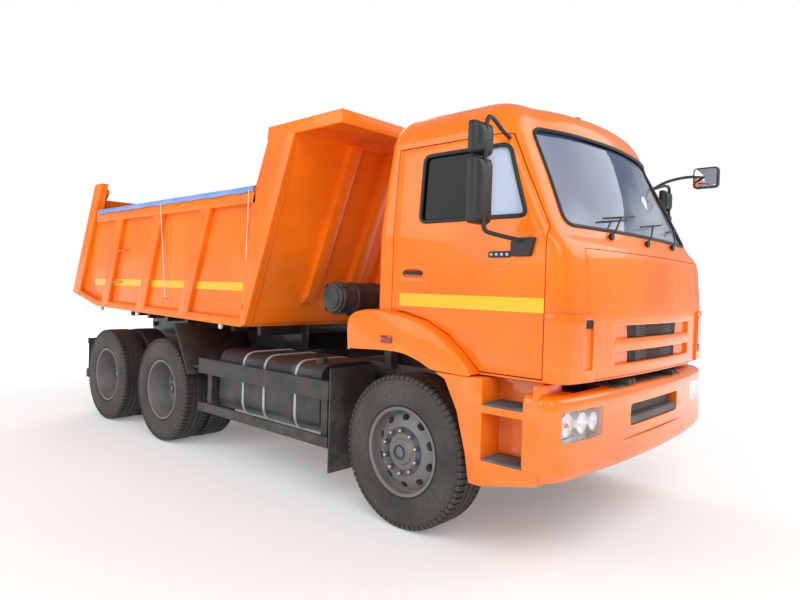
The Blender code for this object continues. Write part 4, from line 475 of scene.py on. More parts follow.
def dusty(name, colour, dust_colour, amount=0.5, roughness=0.45, metallic=0.0, grain=(160.0, 0.0006), coat=0.0,
          low=0.2, high=2.6, over=None, specular=0.5):
    """A painted or cast surface with cloudy tone, fine grain, and dust that thins out with height."""
    material, shader, place = bare_material(name)
    x, y, z = place.parts()
    cloud, speck = place.noise(1.9, 6.0), place.noise(grain[0], 3.0)
    tone = cloud.fade(0.3, 0.7).mix(tuple(c * 0.86 for c in colour), tuple(min(1, c * 1.1) for c in colour))
    dust = ((1 - z.fade(low, high)) * amount * place.noise(7.0, 7.0).fade(0.35, 0.72)
            + speck.fade(0.62, 0.8) * amount * 0.12)
    base = dust.mix(tone, dust_colour)
    if over:
        base = over(base, x, y, z, place)
    plug(shader, "Base Color", base)
    plug(shader, "Roughness", roughness + dust * (0.9 - roughness) + (cloud - 0.5) * 0.1)
    plug(shader, "Normal", speck.bump(0.4, grain[1]))
    plug(shader, "Metallic", metallic)
    plug(shader, "Specular IOR Level", specular)
    plug(shader, "Coat Weight", coat)
    plug(shader, "Coat Roughness", 0.06)
    return material


DUST = srgb(140, 128, 112)
rim_paint = dusty("rim_paint", RIM_GREY, DUST, 0.75, 0.42, 0.35, (120.0, 0.0008), low=0.1, high=1.2)
hub_paint = dusty("hub_casting", HUB_GREY, DUST, 0.6, 0.5, 0.3, (90.0, 0.0012), low=0.1, high=1.2)
stud_steel = dusty("stud_steel", srgb(206, 208, 212), DUST, 0.18, 0.22, 1.0, (200.0, 0.0003), low=0.1, high=1.2)


def hex_nut(x, radius):
    """A hexagon nut with its washer, on the disc at x."""
    washer = [(x - 0.002, 0), (x - 0.002, 0.0215), (x + 0.004, 0.0205), (x + 0.004, 0)]
    nut = [(x + 0.003, 0), (x + 0.003, 0.0172), (x + 0.019, 0.0172), (x + 0.022, 0.0145), (x + 0.022, 0)]
    return together([turned(outline, sides, centre=(0, 0, radius)) for outline, sides in ((washer, 16), (nut, 6))])


def wheel_set(disc, face, hub_x, hole_low, hole_high):
    """The rim with its hand holes, and what is bolted on it."""
    hole = moved(turned([(hole_low, 0), (hole_low, 1), (hole_high, 1), (hole_high, 0)], 20), (0, 0, HOLE_CIRCLE),
                 Matrix.Diagonal((1, 0.031, 0.021)))
    rim = taken(cut(plain_object("rim", turned(disc, 96)), [repeated(hole, ring_tree, rim_paint, Count=HOLES)]))
    nuts = repeated(hex_nut(face, NUT_CIRCLE), ring_tree, hub_paint, Count=NUTS)
    stud = turned([(face + 0.018, 0), (face + 0.018, 0.0098), (face + 0.034, 0.0098), (face + 0.037, 0.007),
                   (face + 0.037, 0)], 10, centre=(0, 0, NUT_CIRCLE))
    hub_bolts = repeated(hex_nut(hub_x, HUB_CIRCLE), ring_tree, hub_paint, Count=HUB_BOLTS)
    for vert in hub_bolts.verts:
        out = Vector((0, *vert.co.yz))
        vert.co = Vector(((hub_x + vert.co.x) / 2, 0, 0)) + out.normalized() * (HUB_CIRCLE * 0.6 + out.length * 0.4)
    ring = turned([(face + 0.0005, 0.122), (face + 0.006, 0.1225), (face + 0.006, 0.163), (face + 0.0005, 0.1640)], 72,
                  closed=True)
    return {"disc": rim, "nuts": together([nuts, hub_bolts, ring]),
            "studs": repeated(stud, ring_tree, stud_steel, Count=NUTS)}


front_set = wheel_set(FRONT_DISC, 0.105, 0.135, 0.03, 0.2)
twin_set = wheel_set(TWIN_DISC, 0.016, 0.170, -0.02, 0.2)
for side_name, side in SIDES:
    places = [("rim_front", f"wheel_front_{side_name}", FRONT_TRACK_HALF, 0, front_set)]
    places += [(f"rims_{number}", f"wheels_{number}_{side_name}", REAR_TRACK_HALF, y, twin_set)
               for number, y in AXLE_YS.items()]
    for start, body, x, y, parts in places:
        node = f"{start}_{side_name}"
        piece(f"{node}_disc", wheel_shape(parts["disc"], side, x, y), rim_paint, body, "wheel_paint", node, smooth=30)
        piece(f"{node}_nuts", wheel_shape(parts["nuts"], side, x, y), hub_paint, body, "wheel_paint")
        piece(f"{node}_studs", wheel_shape(parts["studs"], side, x, y), stud_steel, body, "bright_steel")

# ---------------------------------------------------------------- chassis
# Rolled channel rails with riveted cross members, leaf springs, cast axles and the engine.
# All of it is sprayed satin black and has gathered road dust.

CHASSIS_BLACK = srgb(50, 49, 51)
BOLT_STEP, BOLTS, BOLT_ZS, FIRST_BOLT_Y, RAIL_FACE_X = 0.17, 34, (0.765, 0.895), -0.95, 0.4325
BOLT_HEAD = ((-0.001, 0), (-0.001, 0.01215), (0.0018, 0.01125), (0.0018, 0.009), (0.007, 0.00864), (0.007, 0))
chassis_paint = dusty("chassis_paint", CHASSIS_BLACK, DUST, 0.30, 0.5, 0.0, (140.0, 0.0008), low=0.1, high=1.5)
cast_iron = dusty("cast_iron", srgb(58, 57, 57), DUST, 0.7, 0.6, 0.25, (60.0, 0.002), low=0.1, high=1.3)
spring_steel = dusty("spring_steel", srgb(46, 46, 48), DUST, 0.6, 0.55, 0.3, (30.0, 0.002), low=0.1, high=1.3)


def softened(name, node, finish, body, slot, bevel=0.004, extra=()):
    """A CAD node's form with merged faces and softened edges, and what is fixed to it."""
    bm = bmesh.new()
    bm.from_mesh(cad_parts[node].data)
    bmesh.ops.remove_doubles(bm, verts=bm.verts, dist=1e-5)
    bmesh.ops.dissolve_limit(bm, angle_limit=math.radians(1.0), verts=bm.verts, edges=bm.edges)
    bmesh.ops.translate(bm, verts=bm.verts, vec=(0, -FRONT_AXLE_Y, 0))
    whole = taken(settled(bevelled(plain_object("soft", bm), bevel)))
    piece(name, together([whole, *extra]), finish, body, slot, node)


rail_bolts = []
for side_name, side in SIDES:
    for z in BOLT_ZS:
        head = moved(turned(BOLT_HEAD, 6), (side * RAIL_FACE_X, FIRST_BOLT_Y, z),
                     HALF_TURN if side < 0 else None)
        rail_bolts.append(repeated(head, row_tree, chassis_paint, Count=BOLTS, Step=(0, BOLT_STEP, 0)))
softened("frame_rails", "frame", chassis_paint, "chassis", "dark_paint", 0.0025, rail_bolts)
for name, node, bevel in (("front_axle_beam", "front_axle", 0.006), ("rear_axle_2_casing", "rear_axle_2", 0.005),
                          ("rear_axle_3_casing", "rear_axle_3", 0.005), ("engine_block", "engine", 0.008)):
    softened(name, node, cast_iron, "chassis", "cast_metal", bevel)
softened("track_rod", "tie_rod", spring_steel, "tie_rod", "cast_metal", 0.002)
softened("underrun_beam", "underrun", chassis_paint, "chassis", "dark_paint", 0.004)
for side_name, side in SIDES:
    softened(f"knuckle_{side_name}_casting", f"knuckle_{side_name}", cast_iron, f"knuckle_{side_name}", "cast_metal")
    for node, part, finish, bevel in (("spring_front", "leaves", spring_steel, 0.003),
                                      ("spring_rear", "leaves", spring_steel, 0.003),
                                      ("side_guard", "rails", chassis_paint, 0.005)):
        softened(f"{node}_{side_name}_{part}", f"{node}_{side_name}", finish, "chassis", "dark_paint", bevel)

# ---------------------------------------------------------------- hoist
# A telescopic cylinder of chromed steel tubes, one in another, on a trunnion between the
# rails. The barrel is painted black.

hoist_steel = dusty("hoist_steel", srgb(170, 172, 176), DUST, 0.2, 0.25, 1.0, (200.0, 0.0003), low=0.1, high=1.2)
softened("hoist_barrel_tube", "hoist_barrel", chassis_paint, "hoist_barrel", "dark_paint", 0.002)
for stage in range(1, 5):
    node = f"hoist_stage_{stage}"
    softened(f"hoist_tube_{stage}", node, hoist_steel, node, "bright_steel", 0.001)

# ---------------------------------------------------------------- fuel tank, boxes and intake
# A pressed steel fuel tank in three steel straps on the right, a battery box with two air
# tanks on the left, and a drum-shaped air cleaner behind the cab, all painted black.

TANK = dict(front=0.86, rear=2.28, outer=1.12, inner=0.52, low=0.45, top=1.0, corner=0.13)
TANK_END = ((0.012, -0.03), (0.004, -0.012), (0.0, -0.004), (0.004, 0.002), (0.022, 0.002), (0.026, -0.002))
TANK_SWAGES, SWAGE = (1.23, 1.92), ((-0.01, -0.002), (-0.005, 0.0005), (0.005, 0.0005), (0.01, -0.002))
STRAP_YS, STRAP_HALF = (1.165, 1.588, 1.897), 0.013
DRUM_Y, DRUM_Z = 0.75, 1.515
DRUM = [(-1.14, 0), (-1.14, 0.075), (-1.136, 0.083), (-1.128, 0.086), (-1.126, 0.104), (-1.118, 0.110), (-1.105, 0.112),
        (-1.100, 0.122), (-1.094, 0.125), (-1.080, 0.125), (-1.076, 0.1165), (-0.96, 0.1165), (-0.955, 0.1215),
        (-0.93, 0.1215), (-0.925, 0.1165), (-0.74, 0.1165), (-0.735, 0.1215), (-0.71, 0.1215), (-0.705, 0.1165),
        (-0.54, 0.1165), (-0.520, 0.112), (-0.503, 0.09), (-0.500, 0.0)]


def rounded(outline, radius, steps=6):
    """An outline with each corner rounded."""
    points, count = [], len(outline)
    for i in range(count):
        before, corner, after = (Vector(outline[(i + k) % count]) for k in (-1, 0, 1))
        first = corner + (before - corner).normalized() * radius
        last = corner + (after - corner).normalized() * radius
        for k in range(steps + 1):
            t = k / steps
            points.append(tuple(first * (1 - t) ** 2 + corner * 2 * t * (1 - t) + last * t ** 2))
    return points


def rect(a0, a1, b0, b1, radius, steps):
    """A rectangle with rounded corners."""
    return rounded([(a0, b0), (a1, b0), (a1, b1), (a0, b1)], radius, steps)


def tank_section(y, grow):
    """The tank's outline at y, grown on all sides."""
    outer, inner = -TANK["outer"] - grow, -TANK["inner"] + grow
    return [(a, y, b) for a, b in rect(outer, inner, TANK["low"] - grow, TANK["top"] + grow, TANK["corner"] + grow, 8)]


tank_paint = dusty("tank_paint", srgb(46, 46, 50), DUST, 0.28, 0.36, 0.0, (60.0, 0.0012), low=0.2, high=1.3)
rings = [(TANK["front"] + d, grow) for d, grow in TANK_END] + [(y + d, grow) for y in TANK_SWAGES for d, grow in SWAGE]
rings += [(TANK["rear"] - d, grow) for d, grow in reversed(TANK_END)]
cap_neck = turned([(0.99, 0), (0.99, 0.05), (1.012, 0.05), (1.014, 0.043), (1.03, 0.043), (1.036, 0.036), (1.036, 0)],
                  28, "Z", (-0.99, TANK["top"], 0))
piece("fuel_tank_shell", together([lofted([tank_section(y, grow) for y, grow in rings]), cap_neck]), tank_paint,
      "chassis", "tank_paint", "fuel_tank")
straps, brackets = [], []
for y in STRAP_YS:
    edges = ((-STRAP_HALF, 0.0), (-STRAP_HALF, 0.006), (STRAP_HALF, 0.006), (STRAP_HALF, 0.0))
    straps.append(lofted([tank_section(y + d, grow) for d, grow in edges]))
    straps.append(turned([(0.80, 0), (0.80, 0.009), (0.875, 0.009), (0.875, 0)], 12, "Z",
                         (-TANK["outer"] - 0.010, y, 0)))
    brackets.append(block((-0.524, y - 0.025, 0.76), (-0.4328, y + 0.025, 0.9)))
strap_zinc = dusty("strap_zinc", srgb(186, 188, 190), DUST, 0.2, 0.4, 0.4, (160.0, 0.0004), low=0.2, high=1.2)
piece("fuel_tank_straps", together(straps), strap_zinc, "chassis", "bright_steel", bevel=0.0015)
piece("fuel_tank_brackets", together(brackets), chassis_paint, "chassis", "dark_paint", bevel=0.002)
softened("battery_box_case", "battery_box", chassis_paint, "chassis", "dark_paint", 0.006)
intake_plastic = dusty("intake_plastic", srgb(30, 30, 33), DUST, 0.35, 0.42, 0.0, (90.0, 0.001), low=0.6, high=2.2)
drum = turned(DRUM, 48, "X", (0, DRUM_Y, DRUM_Z))
clips = [moved(block((-0.030, -0.014, -0.004), (0.030, 0.014, 0.008)),
               (-1.088, DRUM_Y + 0.122 * math.cos(a), DRUM_Z + 0.122 * math.sin(a)),
               Matrix.Rotation(a - math.pi / 2, 3, "X")) for a in (0.8, 2.35, 3.95, 5.5)]
folds = [(-0.5 + 0.72 * i / 30, 0.058 + 0.005 * (i % 2)) for i in range(31)]
duct = turned([(-0.516, 0), (-0.516, 0.062), *folds, (0.25, 0.062), (0.25, 0)], 28, "X", (0, DRUM_Y, DRUM_Z))
stand = [block((-0.5035, 0.71, 0.9603), (-0.4235, 0.79, 1.406)), block((-1.015, 0.71, 1.382), (-0.4235, 0.79, 1.406))]
piece("air_cleaner", together([drum, duct, *clips, *stand]), intake_plastic, "chassis", "black_plastic", "air_filter",
      smooth=30)

# ---------------------------------------------------------------- cab shell
# Pressed and welded sheet steel, sprayed glossy orange. The plan is swept at the front, the
# sides lean in above the waist, and the roof is a shallow dome.

PAINT = srgb(250, 118, 8)
PAINT_DUST = srgb(206, 150, 100)
STRIPE = srgb(255, 196, 40)
CAB_FRONT = -1.245
CAB_ROWS = ((1.105, 1.15, CAB_FRONT, 0.265), (1.30, 1.15, CAB_FRONT, 0.265), (1.5, 1.15, CAB_FRONT, 0.265),
            (1.70, 1.15, -1.228, 0.265), (1.86, 1.15, -1.205, 0.265), (1.95, 1.15, -1.15, 0.265),
            (2.27, 1.126, -1.04, 0.24), (2.53, 1.104, -0.944, 0.215), (2.576, 1.10, -0.925, 0.21))
CROWN_ROWS = ((0.36, 0.97, 0.025), (0.72, 0.90, 0.075), (0.93, 0.78, 0.17), (0.99, 0.62, 0.31), (1.0, 0.44, 0.49))
SEAM_Z, ROOF_Z, SWEPT_FROM, SWEPT_AT = 2.576, 2.805, 1.86, 2.56
SKIN, FLOOR_Z = 0.03, 1.225
PANEL = dict(half=0.945, low=1.112, top=1.858, corner=0.03)
ARCH_SHARES = ((0.0, 0.2), (0.0, 0.78), (0.055, 0.92), (0.24, 1.0), (0.43, 0.95), (0.62, 0.82), (0.78, 0.6),
               (0.9, 0.32), (1.0, 0.0))
DOOR = dict(rear=0.115, front=-1.035, shoulder=-0.745, low=1.118, top=2.53)
SWEEPS, CORNER_DEPTHS = (0.06, 0.155), (0.09, 0.14)
LOW_PLAN = ((0, 0), (0.3, 0.12), (0.58, 0.45), (0.86, 1.0), (0.955, 0.25), (0.99, 0.58), (1.0, 1.0))
HIGH_PLAN = ((0, 0), (0.28, 0.12), (0.54, 0.42), (0.79, 1.0), (0.90, 0.16), (0.975, 0.50), (1.0, 1.0))
SCREEN = dict(low_half=0.985, top_half=0.885, low=1.985, top=2.60, corner=0.075)


def orange(name, roughness, coat, dust, stripe=None, low=0.5, high=1.9, black=None):
    """Glossy orange paint, with a reflecting stripe and black parts where those two say."""
    def marks(base, x, y, z, place):
        if black:
            base = black(x, y, z).mix(base, CHASSIS_BLACK)
        if stripe:
            mesh = place.node("ShaderNodeTexVoronoi", {}, {"Vector": place, "Scale": 260.0}).fade(0.1, 0.5)
            base = stripe(x, y, z).mix(base, mesh.mix(STRIPE, tuple(c * 0.86 for c in STRIPE)))
        return base
    return dusty(name, PAINT, PAINT_DUST, dust, roughness, 0.0, (420.0, 0.00012), coat, low, high, marks, 0.3)


def through(points, steps, closed=False):
    """Points of a smooth curve that passes through the given rows of numbers."""
    p = np.asarray(points, float)
    count = len(p)

    def row(k):
        if closed or 0 <= k < count:
            return p[k % count]
        return 2 * p[0] - p[1] if k < 0 else 2 * p[-1] - p[-2]

    result = []
    for i in range(count if closed else count - 1):
        quad = [row(i + k) for k in (-1, 0, 1, 2)]
        knots = [0.0]
        for a, b in zip(quad, quad[1:]):
            knots.append(knots[-1] + max(np.linalg.norm(b - a), 1e-6) ** 0.5)
        for k in range(steps):
            t, level = knots[1] + (knots[2] - knots[1]) * k / steps, quad
            for pairs in (((0, 1), (1, 2), (2, 3)), ((0, 2), (1, 3)), ((1, 2),)):
                level = [level[n] * (knots[b] - t) / (knots[b] - knots[a])
                         + level[n + 1] * (t - knots[a]) / (knots[b] - knots[a]) for n, (a, b) in enumerate(pairs)]
            result.append(level[0])
    return np.array(result if closed else [*result, p[-1]])


def plan_ring(half, front, rear, radius, z, swept=0.0):
    """The cab's plan at one height, from the middle of its front round by the left."""
    sweep, depth = (low + (high - low) * swept for low, high in (SWEEPS, CORNER_DEPTHS))
    plan = [(a + (c - a) * swept, b + (d - b) * swept) for (a, b), (c, d) in zip(LOW_PLAN, HIGH_PLAN)]
    side_y = front + sweep + depth
    left = [(half * a, front + sweep * b) for a, b in plan[:4]]
    left += [(half * a, front + sweep + depth * b) for a, b in plan[4:]]
    left += [(half, side_y + 0.05), (half, (side_y + rear) / 2), (half, rear - radius - 0.03), (half, rear - radius)]
    left += [(half - radius * 0.3, rear - radius * 0.3), (half - radius, rear), (half * 0.5, rear), (0, rear)]
    return np.array([(a, b, z) for a, b in left + [(-a, b) for a, b in reversed(left[1:-1])]])


def smoothed(rows, front):
    """Rings that pass smoothly through rings of points, none ahead of front."""
    rows = np.array(rows)
    rings = [through(ring, 3, True) for ring in through(rows.reshape(len(rows), -1), 3).reshape(-1, rows.shape[1], 3)]
    for ring in rings:
        ring[:, 1] = np.maximum(ring[:, 1], front)
    return rings


def cab_form(inset=0.0):
    """The cab's outer form, or the same form moved inwards."""
    rows = [(z, half - inset, front + inset, rear - inset) for z, half, front, rear in CAB_ROWS]
    _, half, front, rear = CAB_ROWS[-1]
    rows += [(SEAM_Z + (ROOF_Z - SEAM_Z - inset) * rise, half * width - inset, front + pull + inset,
              rear - min(pull * 0.55, 0.11) - inset) for rise, width, pull in CROWN_ROWS]
    rings = smoothed([plan_ring(half, front, rear, 0.06, z, min(1, max(0, (z - SWEPT_FROM) / (SWEPT_AT - SWEPT_FROM))))
                      for z, half, front, rear in rows], CAB_FRONT + inset)
    for number, ring in enumerate(rings):
        ring[:, 2] = np.minimum(ring[:, 2], ROOF_Z - inset - 0.001 * (len(rings) - 1 - number))
    middle = rings[-1].mean(axis=0)
    rings += [middle + (rings[-1] - middle) * share for share in (0.75, 0.5, 0.25, 0.05)]
    return lofted(rings)


def screen_outline(margin=0.0):
    """The windscreen's outline, drawn in by margin."""
    low_half, top_half = SCREEN["low_half"] - margin, SCREEN["top_half"] - margin
    low, top = SCREEN["low"] + margin, SCREEN["top"] - margin
    return rounded([(-low_half, low), (low_half, low), (top_half, top), (-top_half, top)], SCREEN["corner"] + margin, 8)


def panel_outline(margin=0.0):
    """The front panel's outline, drawn in by margin."""
    half = PANEL["half"] - margin
    return rect(-half, half, PANEL["low"] + margin, PANEL["top"] - margin, PANEL["corner"], 4)


def arch_point(a, b):
    """A point of the wheel arch from its shares of the arch's length and height."""
    return 0.46 - 1.07 * a, 1.105 + b


def arch_outer():
    """The arch's outer edge."""
    return [arch_point(a, 0.351 * b) for a, b in ARCH_SHARES]


def arch_inner():
    """The arch's inner edge."""
    return [arch_point(a, 0.082 * b) for a, b in ((0.72, 0.0), (0.62, 0.55), (0.47, 1.0), (0.04, 0.85))]


def door_outline(m=0.0):
    """The door's outline, drawn in by m all round."""
    front, rear, low, top = DOOR["front"], DOOR["rear"] - m, DOOR["low"], DOOR["top"] - m
    lower = [(a, b + 0.006 + m) for a, b in arch_outer() if front < a - 0.006 and a + 0.006 < rear and b > low]
    outline = [(front + m, low + m), (front + m, 1.96), (DOOR["shoulder"] + m, top), (rear, top), (rear, lower[0][1])]
    return outline + lower + [(-0.61 - m, low + m)]


def window_outline(margin=0.0):
    """The door window's outline, drawn in by margin."""
    low, top = 2.03 + margin, 2.46 - margin
    return rounded([(-0.115 - margin, low), (-0.115 - margin, top), (-0.750 + margin, top), (-0.905 + margin, low)],
                   0.045 + margin, 6)


def side_prism(outline, side, deep=1.0):
    """An outline in (y, z) drawn out through one side of the cab."""
    return prism(outline, "X", side * deep, side * 1.5)


def front_prism(outline, rear, front=-1.6):
    """An outline in (x, z) drawn out from front to rear."""
    return prism(outline, "Y", front, rear)


def cab_stripe(x, y, z):
    """The stripe's place on the doors."""
    return (z.within(1.487, 1.569) * y.within(-1.03 + FRONT_AXLE_Y, 0.044 + FRONT_AXLE_Y, 0.002)
            * abs(x).fade(1.10, 1.12))


cab_paint = orange("cab_paint", 0.30, 0.35, 0.10)
door_paint = orange("door_paint", 0.30, 0.35, 0.10, cab_stripe)
form_tree = BVHTree.FromBMesh(cab_form())
under = prism([(-0.4, 0.8), (-0.4, 1.105), (-0.315, 1.19), (0.6, 1.19), (0.6, 0.8)], "X", -1.5, 1.5)
room = taken(cut(plain_object("room", cab_form(SKIN)), [block((-2, -3, 0.5), (2, 3, FLOOR_Z))]))
openings = [front_prism(screen_outline(), -0.60), front_prism(panel_outline(), -1.10)]
openings += [side_prism(door_outline(-0.002), side) for _, side in SIDES]
piece("cab_shell", cab_form(), cab_paint, "cab", "orange_paint", "cab", [room, under, *openings], smooth=30)


def tube(points, radius, sides=10, closed=False):
    """A round bar along a line of points, with the same turn all along."""
    points, normal, rings = [Vector(p) for p in points], None, []
    for i, point in enumerate(points):
        before = points[i - 1] if closed or i else point
        after = points[(i + 1) % len(points)] if closed or i < len(points) - 1 else point
        ahead = (after - before).normalized()
        if normal is None:
            normal = ahead.orthogonal().normalized()
        normal = (normal - ahead * normal.dot(ahead)).normalized()
        other = ahead.cross(normal)
        rings.append([point + (normal * math.cos(a) + other * math.sin(a)) * radius
                      for a in (2 * math.pi * k / sides for k in range(sides))])
    return lofted(rings, not closed, closed)


def on_skin(start, direction, lift):
    """The point of the cab's skin that a ray meets, lifted off it."""
    place, normal, _, _ = form_tree.ray_cast(Vector(start), Vector(direction))
    return place + normal * lift


def on_front(x, z, lift=0.0):
    """The point of the cab's skin at x and z, seen from the front."""
    return on_skin((x, -3, z), (0, 1, 0), lift)


def spread(outline, step=0.03):
    """An outline with points added so that none is far from the next."""
    result = []
    for (a, b), (c, d) in zip(outline, outline[1:] + outline[:1]):
        count = max(1, int(math.hypot(c - a, d - b) / step))
        result += [(a + (c - a) * k / count, b + (d - b) * k / count) for k in range(count)]
    return result


seal_rubber = dusty("seal_rubber", srgb(22, 22, 24), DUST, 0.1, 0.5, 0.0, (240.0, 0.0004))
screen_seal = tube([on_front(x, z, 0.001) for x, z in spread(screen_outline(0.002))], 0.0115, closed=True)
piece("windscreen_seal", screen_seal, seal_rubber, "cab", "black_plastic", smooth=60)

# ---------------------------------------------------------------- glass
# Laminated windscreen, slightly blue, over a dark cab, with a painted reflection of the sky on it and a dark
# band along its top edge. The toughened door panes are nearly black, with a painted sky reflection at their front.

PANE_OUT, PANE_IN = 0.012, 0.018


def glazed(name, colour, haze, transmission, specular):
    """Smooth glass with a colour, and a haze that blurs what it reflects."""
    material, shader, place = bare_material(name)
    haze = place.noise(*haze[0]).fade(*haze[1])
    plug(shader, "Base Color", colour(*place.parts(), haze))
    plug(shader, "Roughness", haze * 0.02 + 0.01)
    plug(shader, "Transmission Weight", transmission)
    plug(shader, "IOR", 1.5)
    plug(shader, "Specular IOR Level", specular)
    return material


def screen_band_and_painted_sky(x, y, z, haze):
    """The painted reflection of the sky in the windscreen, blue above and pale below, and the band at its top."""
    # Painted reflection of the sky: blue at the top, paler lower down and towards the truck's left.
    painted_sky_reflection = (z * -1.0 + x * 0.35 + haze * 0.3).fade(-2.32, -1.68).mix(srgb(84, 106, 150), srgb(216, 226, 240))
    return (z.fade(2.572, 2.580) * (1 - y.fade(-3.03, -3.0))).mix(painted_sky_reflection, srgb(30, 30, 36))


def pane_painted_sky(x, y, z, haze):
    """The painted reflection of the sky at the front of a door pane, near-black behind it."""
    # Pale painted sky reflection towards the pane's front, near-black glass behind it.
    return (1 - (y + haze * 0.05).fade(-2.78, -2.62)).mix(srgb(14, 11, 12), srgb(186, 200, 222))


glass = glazed("window_glass", screen_band_and_painted_sky, ((1.6, 3.0), (0.35, 0.7)), 0.55, 0.45)
door_glass = glazed("door_glass", pane_painted_sky, ((1.4, 3.0), (0.3, 0.7)), 0.12, 0.15)
piece("windscreen", cab_form(PANE_OUT), glass, "cab", "glass", "windshield", cuts=[cab_form(PANE_IN)],
      keeps=[front_prism(screen_outline(-0.004), -0.62)], smooth=40)
for side_name, side in SIDES:
    piece(f"door_pane_{side_name}", cab_form(PANE_OUT), door_glass, f"door_{side_name}", "glass", f"glass_{side_name}",
          cuts=[cab_form(PANE_IN)], keeps=[side_prism(window_outline(-0.004), side, 0.9)], smooth=40)

# ---------------------------------------------------------------- doors
# Double-skinned steel doors hinged at the front, with a pull handle, a rubber window seal and
# a reflecting stripe.

HANDLE = dict(front=-0.155, rear=0.028, z=1.70)
GRIP = ((1.140, HANDLE["front"] + 0.02), (1.158, HANDLE["front"] + 0.035), (1.161, -0.06),
        (1.158, HANDLE["rear"] - 0.035), (1.140, HANDLE["rear"] - 0.02))
black_plastic = dusty("black_plastic", srgb(28, 28, 30), DUST, 0.15, 0.45, 0.0, (260.0, 0.0006))
for side_name, side in SIDES:
    body = f"door_{side_name}"
    handle_cup = moved(turned([(-0.02, 0), (-0.02, 1), (0.02, 1), (0.02, 0)], 28),
                       (side * 1.15, (HANDLE["front"] + HANDLE["rear"]) / 2, HANDLE["z"]),
                       Matrix.Diagonal((0.9, 0.092, 0.030)))
    piece(f"{body}_skin", cab_form(), door_paint, body, "orange_paint", body,
          cuts=[cab_form(SKIN), side_prism(window_outline(), side, 0.9), handle_cup],
          keeps=[side_prism(door_outline(0.005), side, 0.9)], bevel=0.0025)
    seal = tube([on_skin((side * 3, y, z), (-side, 0, 0), 0.0) for y, z in spread(window_outline(0.002))], 0.013,
                closed=True)
    piece(f"{body}_seal", seal, seal_rubber, body, "black_plastic", smooth=60)
    grip = tube([(side * x, y, HANDLE["z"] + 0.004) for x, y in GRIP], 0.0105, 12)
    piece(f"{body}_handle", grip, black_plastic, body, "black_plastic", smooth=60)

# ---------------------------------------------------------------- wheel arches
# Moulded flares bolted to the cab over the front wheels, painted with it, with a side marker
# lamp in each.

ARCH_MIDDLE = np.array((-0.12, 0.9))
outer = through(arch_outer(), 5)
outline = [*outer, *through(arch_inner(), 6)]
away = [(point - ARCH_MIDDLE) / np.linalg.norm(point - ARCH_MIDDLE) * (number < len(outer))
        for number, point in enumerate(outline)]
for side_name, side in SIDES:
    flare = lofted([[(side * x, *(point - out * shrink)) for point, out in zip(outline, away)]
                    for x, shrink in ((1.125, 0.0), (1.204, 0.0), (1.222, 0.004), (1.232, 0.013), (1.236, 0.026))])
    sheet = prism(arch_inner() + [(a, b + 0.02) for a, b in reversed(arch_inner())], "X", side * 0.78, side * 1.13)
    piece(f"arch_{side_name}", together([flare, sheet]), cab_paint, "cab", "orange_paint", smooth=32)
    lens_red = dusty(f"marker_lens_{side_name}", srgb(140, 30, 14), DUST, 0.1, 0.15, 0.0, (90.0, 0.001), 0.6)
    marker = prism(rect(0.02, 0.12, 1.238, 1.288, 0.01, 3), "X", side * 1.232, side * 1.2445)
    piece(f"marker_{side_name}", marker, lens_red, "cab", "lamp", bevel=0.002)

# ---------------------------------------------------------------- front of the cab
# A moulded panel closes the front under the windscreen, with slots for air, and a fairing
# stands at each corner. Wipers turn on three pivots above it.

GRILLE = dict(half=0.64, mesh_half=0.31, floor=-1.200, rows=((1.186, 1.260), (1.336, 1.416)))
FAIRING = dict(inner=0.885, outer=1.2, low=1.108, top=1.487, proud=0.013)
FAIRING_SLOT = dict(inner=0.905, outer=0.985, low=1.175, top=1.455)
WIPER_ROOTS = ((-0.563, 1.942), (-0.062, 1.934), (0.47, 1.945))
BLADE, BLADE_MIDDLE = ((-0.02, 0.112), (0.43, 0.168)), (0.205, 0.140)
half, floor = GRILLE["half"], GRILLE["floor"]
grille_cuts = [front_prism(rect(-half, half, low, top, 0.012, 3), -1.0, -1.5) for low, top in GRILLE["rows"]]
piece("front_panel", cab_form(), cab_paint, "cab", "orange_paint", cuts=[cab_form(SKIN), *grille_cuts],
      keeps=[front_prism(panel_outline(0.003), -1.0)], bevel=0.004)
# A dark orange sheet behind the front panel, seen through the grille slots: painted shade in the recesses.
gap_painted_shade = dusty("gap_painted_shade", srgb(52, 26, 12), DUST, 0.1, 0.7)
piece("front_panel_back", cab_form(0.034), gap_painted_shade, "cab", "black_plastic", cuts=[cab_form(0.038)],
      keeps=[front_prism(panel_outline(-0.02), -1.10)])
floors = [block((-half - 0.02, floor, low - 0.015), (half + 0.02, floor + 0.004, top + 0.015))
          for low, top in GRILLE["rows"]]
piece("grille_floors", together(floors), cab_paint, "cab", "orange_paint")
mesh_grey = dusty("mesh_grey", srgb(96, 94, 96), DUST, 0.3, 0.5, 0.0, (300.0, 0.0006))
meshes, half = [], GRILLE["mesh_half"]
for low, top in GRILLE["rows"]:
    upright = block((-half, floor - 0.008, low + 0.003), (-half + 0.004, floor - 0.002, top - 0.003))
    level_bar = block((-half, floor - 0.010, low + 0.006), (half, floor - 0.004, low + 0.010))
    meshes += [block((-half, floor - 0.003, low + 0.002), (half, floor + 0.0005, top - 0.002)),
               repeated(upright, row_tree, mesh_grey, Count=44, Step=(2 * half / 44.2, 0, 0)),
               repeated(level_bar, row_tree, mesh_grey, Count=5, Step=(0, 0, (top - low - 0.014) / 4))]
piece("grille_meshes", together(meshes), mesh_grey, "cab", "black_plastic")
# Dark brown fill for the top of the right fairing's slot: painted shadow under the slot's overhang.
slot_painted_shade = dusty("slot_painted_shade", srgb(36, 24, 18), DUST, 0.1, 0.6)
marker_red = dusty("marker_red", srgb(150, 26, 20), DUST, 0.1, 0.16, 0.0, (90.0, 0.001), 0.6)
inner, outer, low, top = (FAIRING_SLOT[key] for key in ("inner", "outer", "low", "top"))
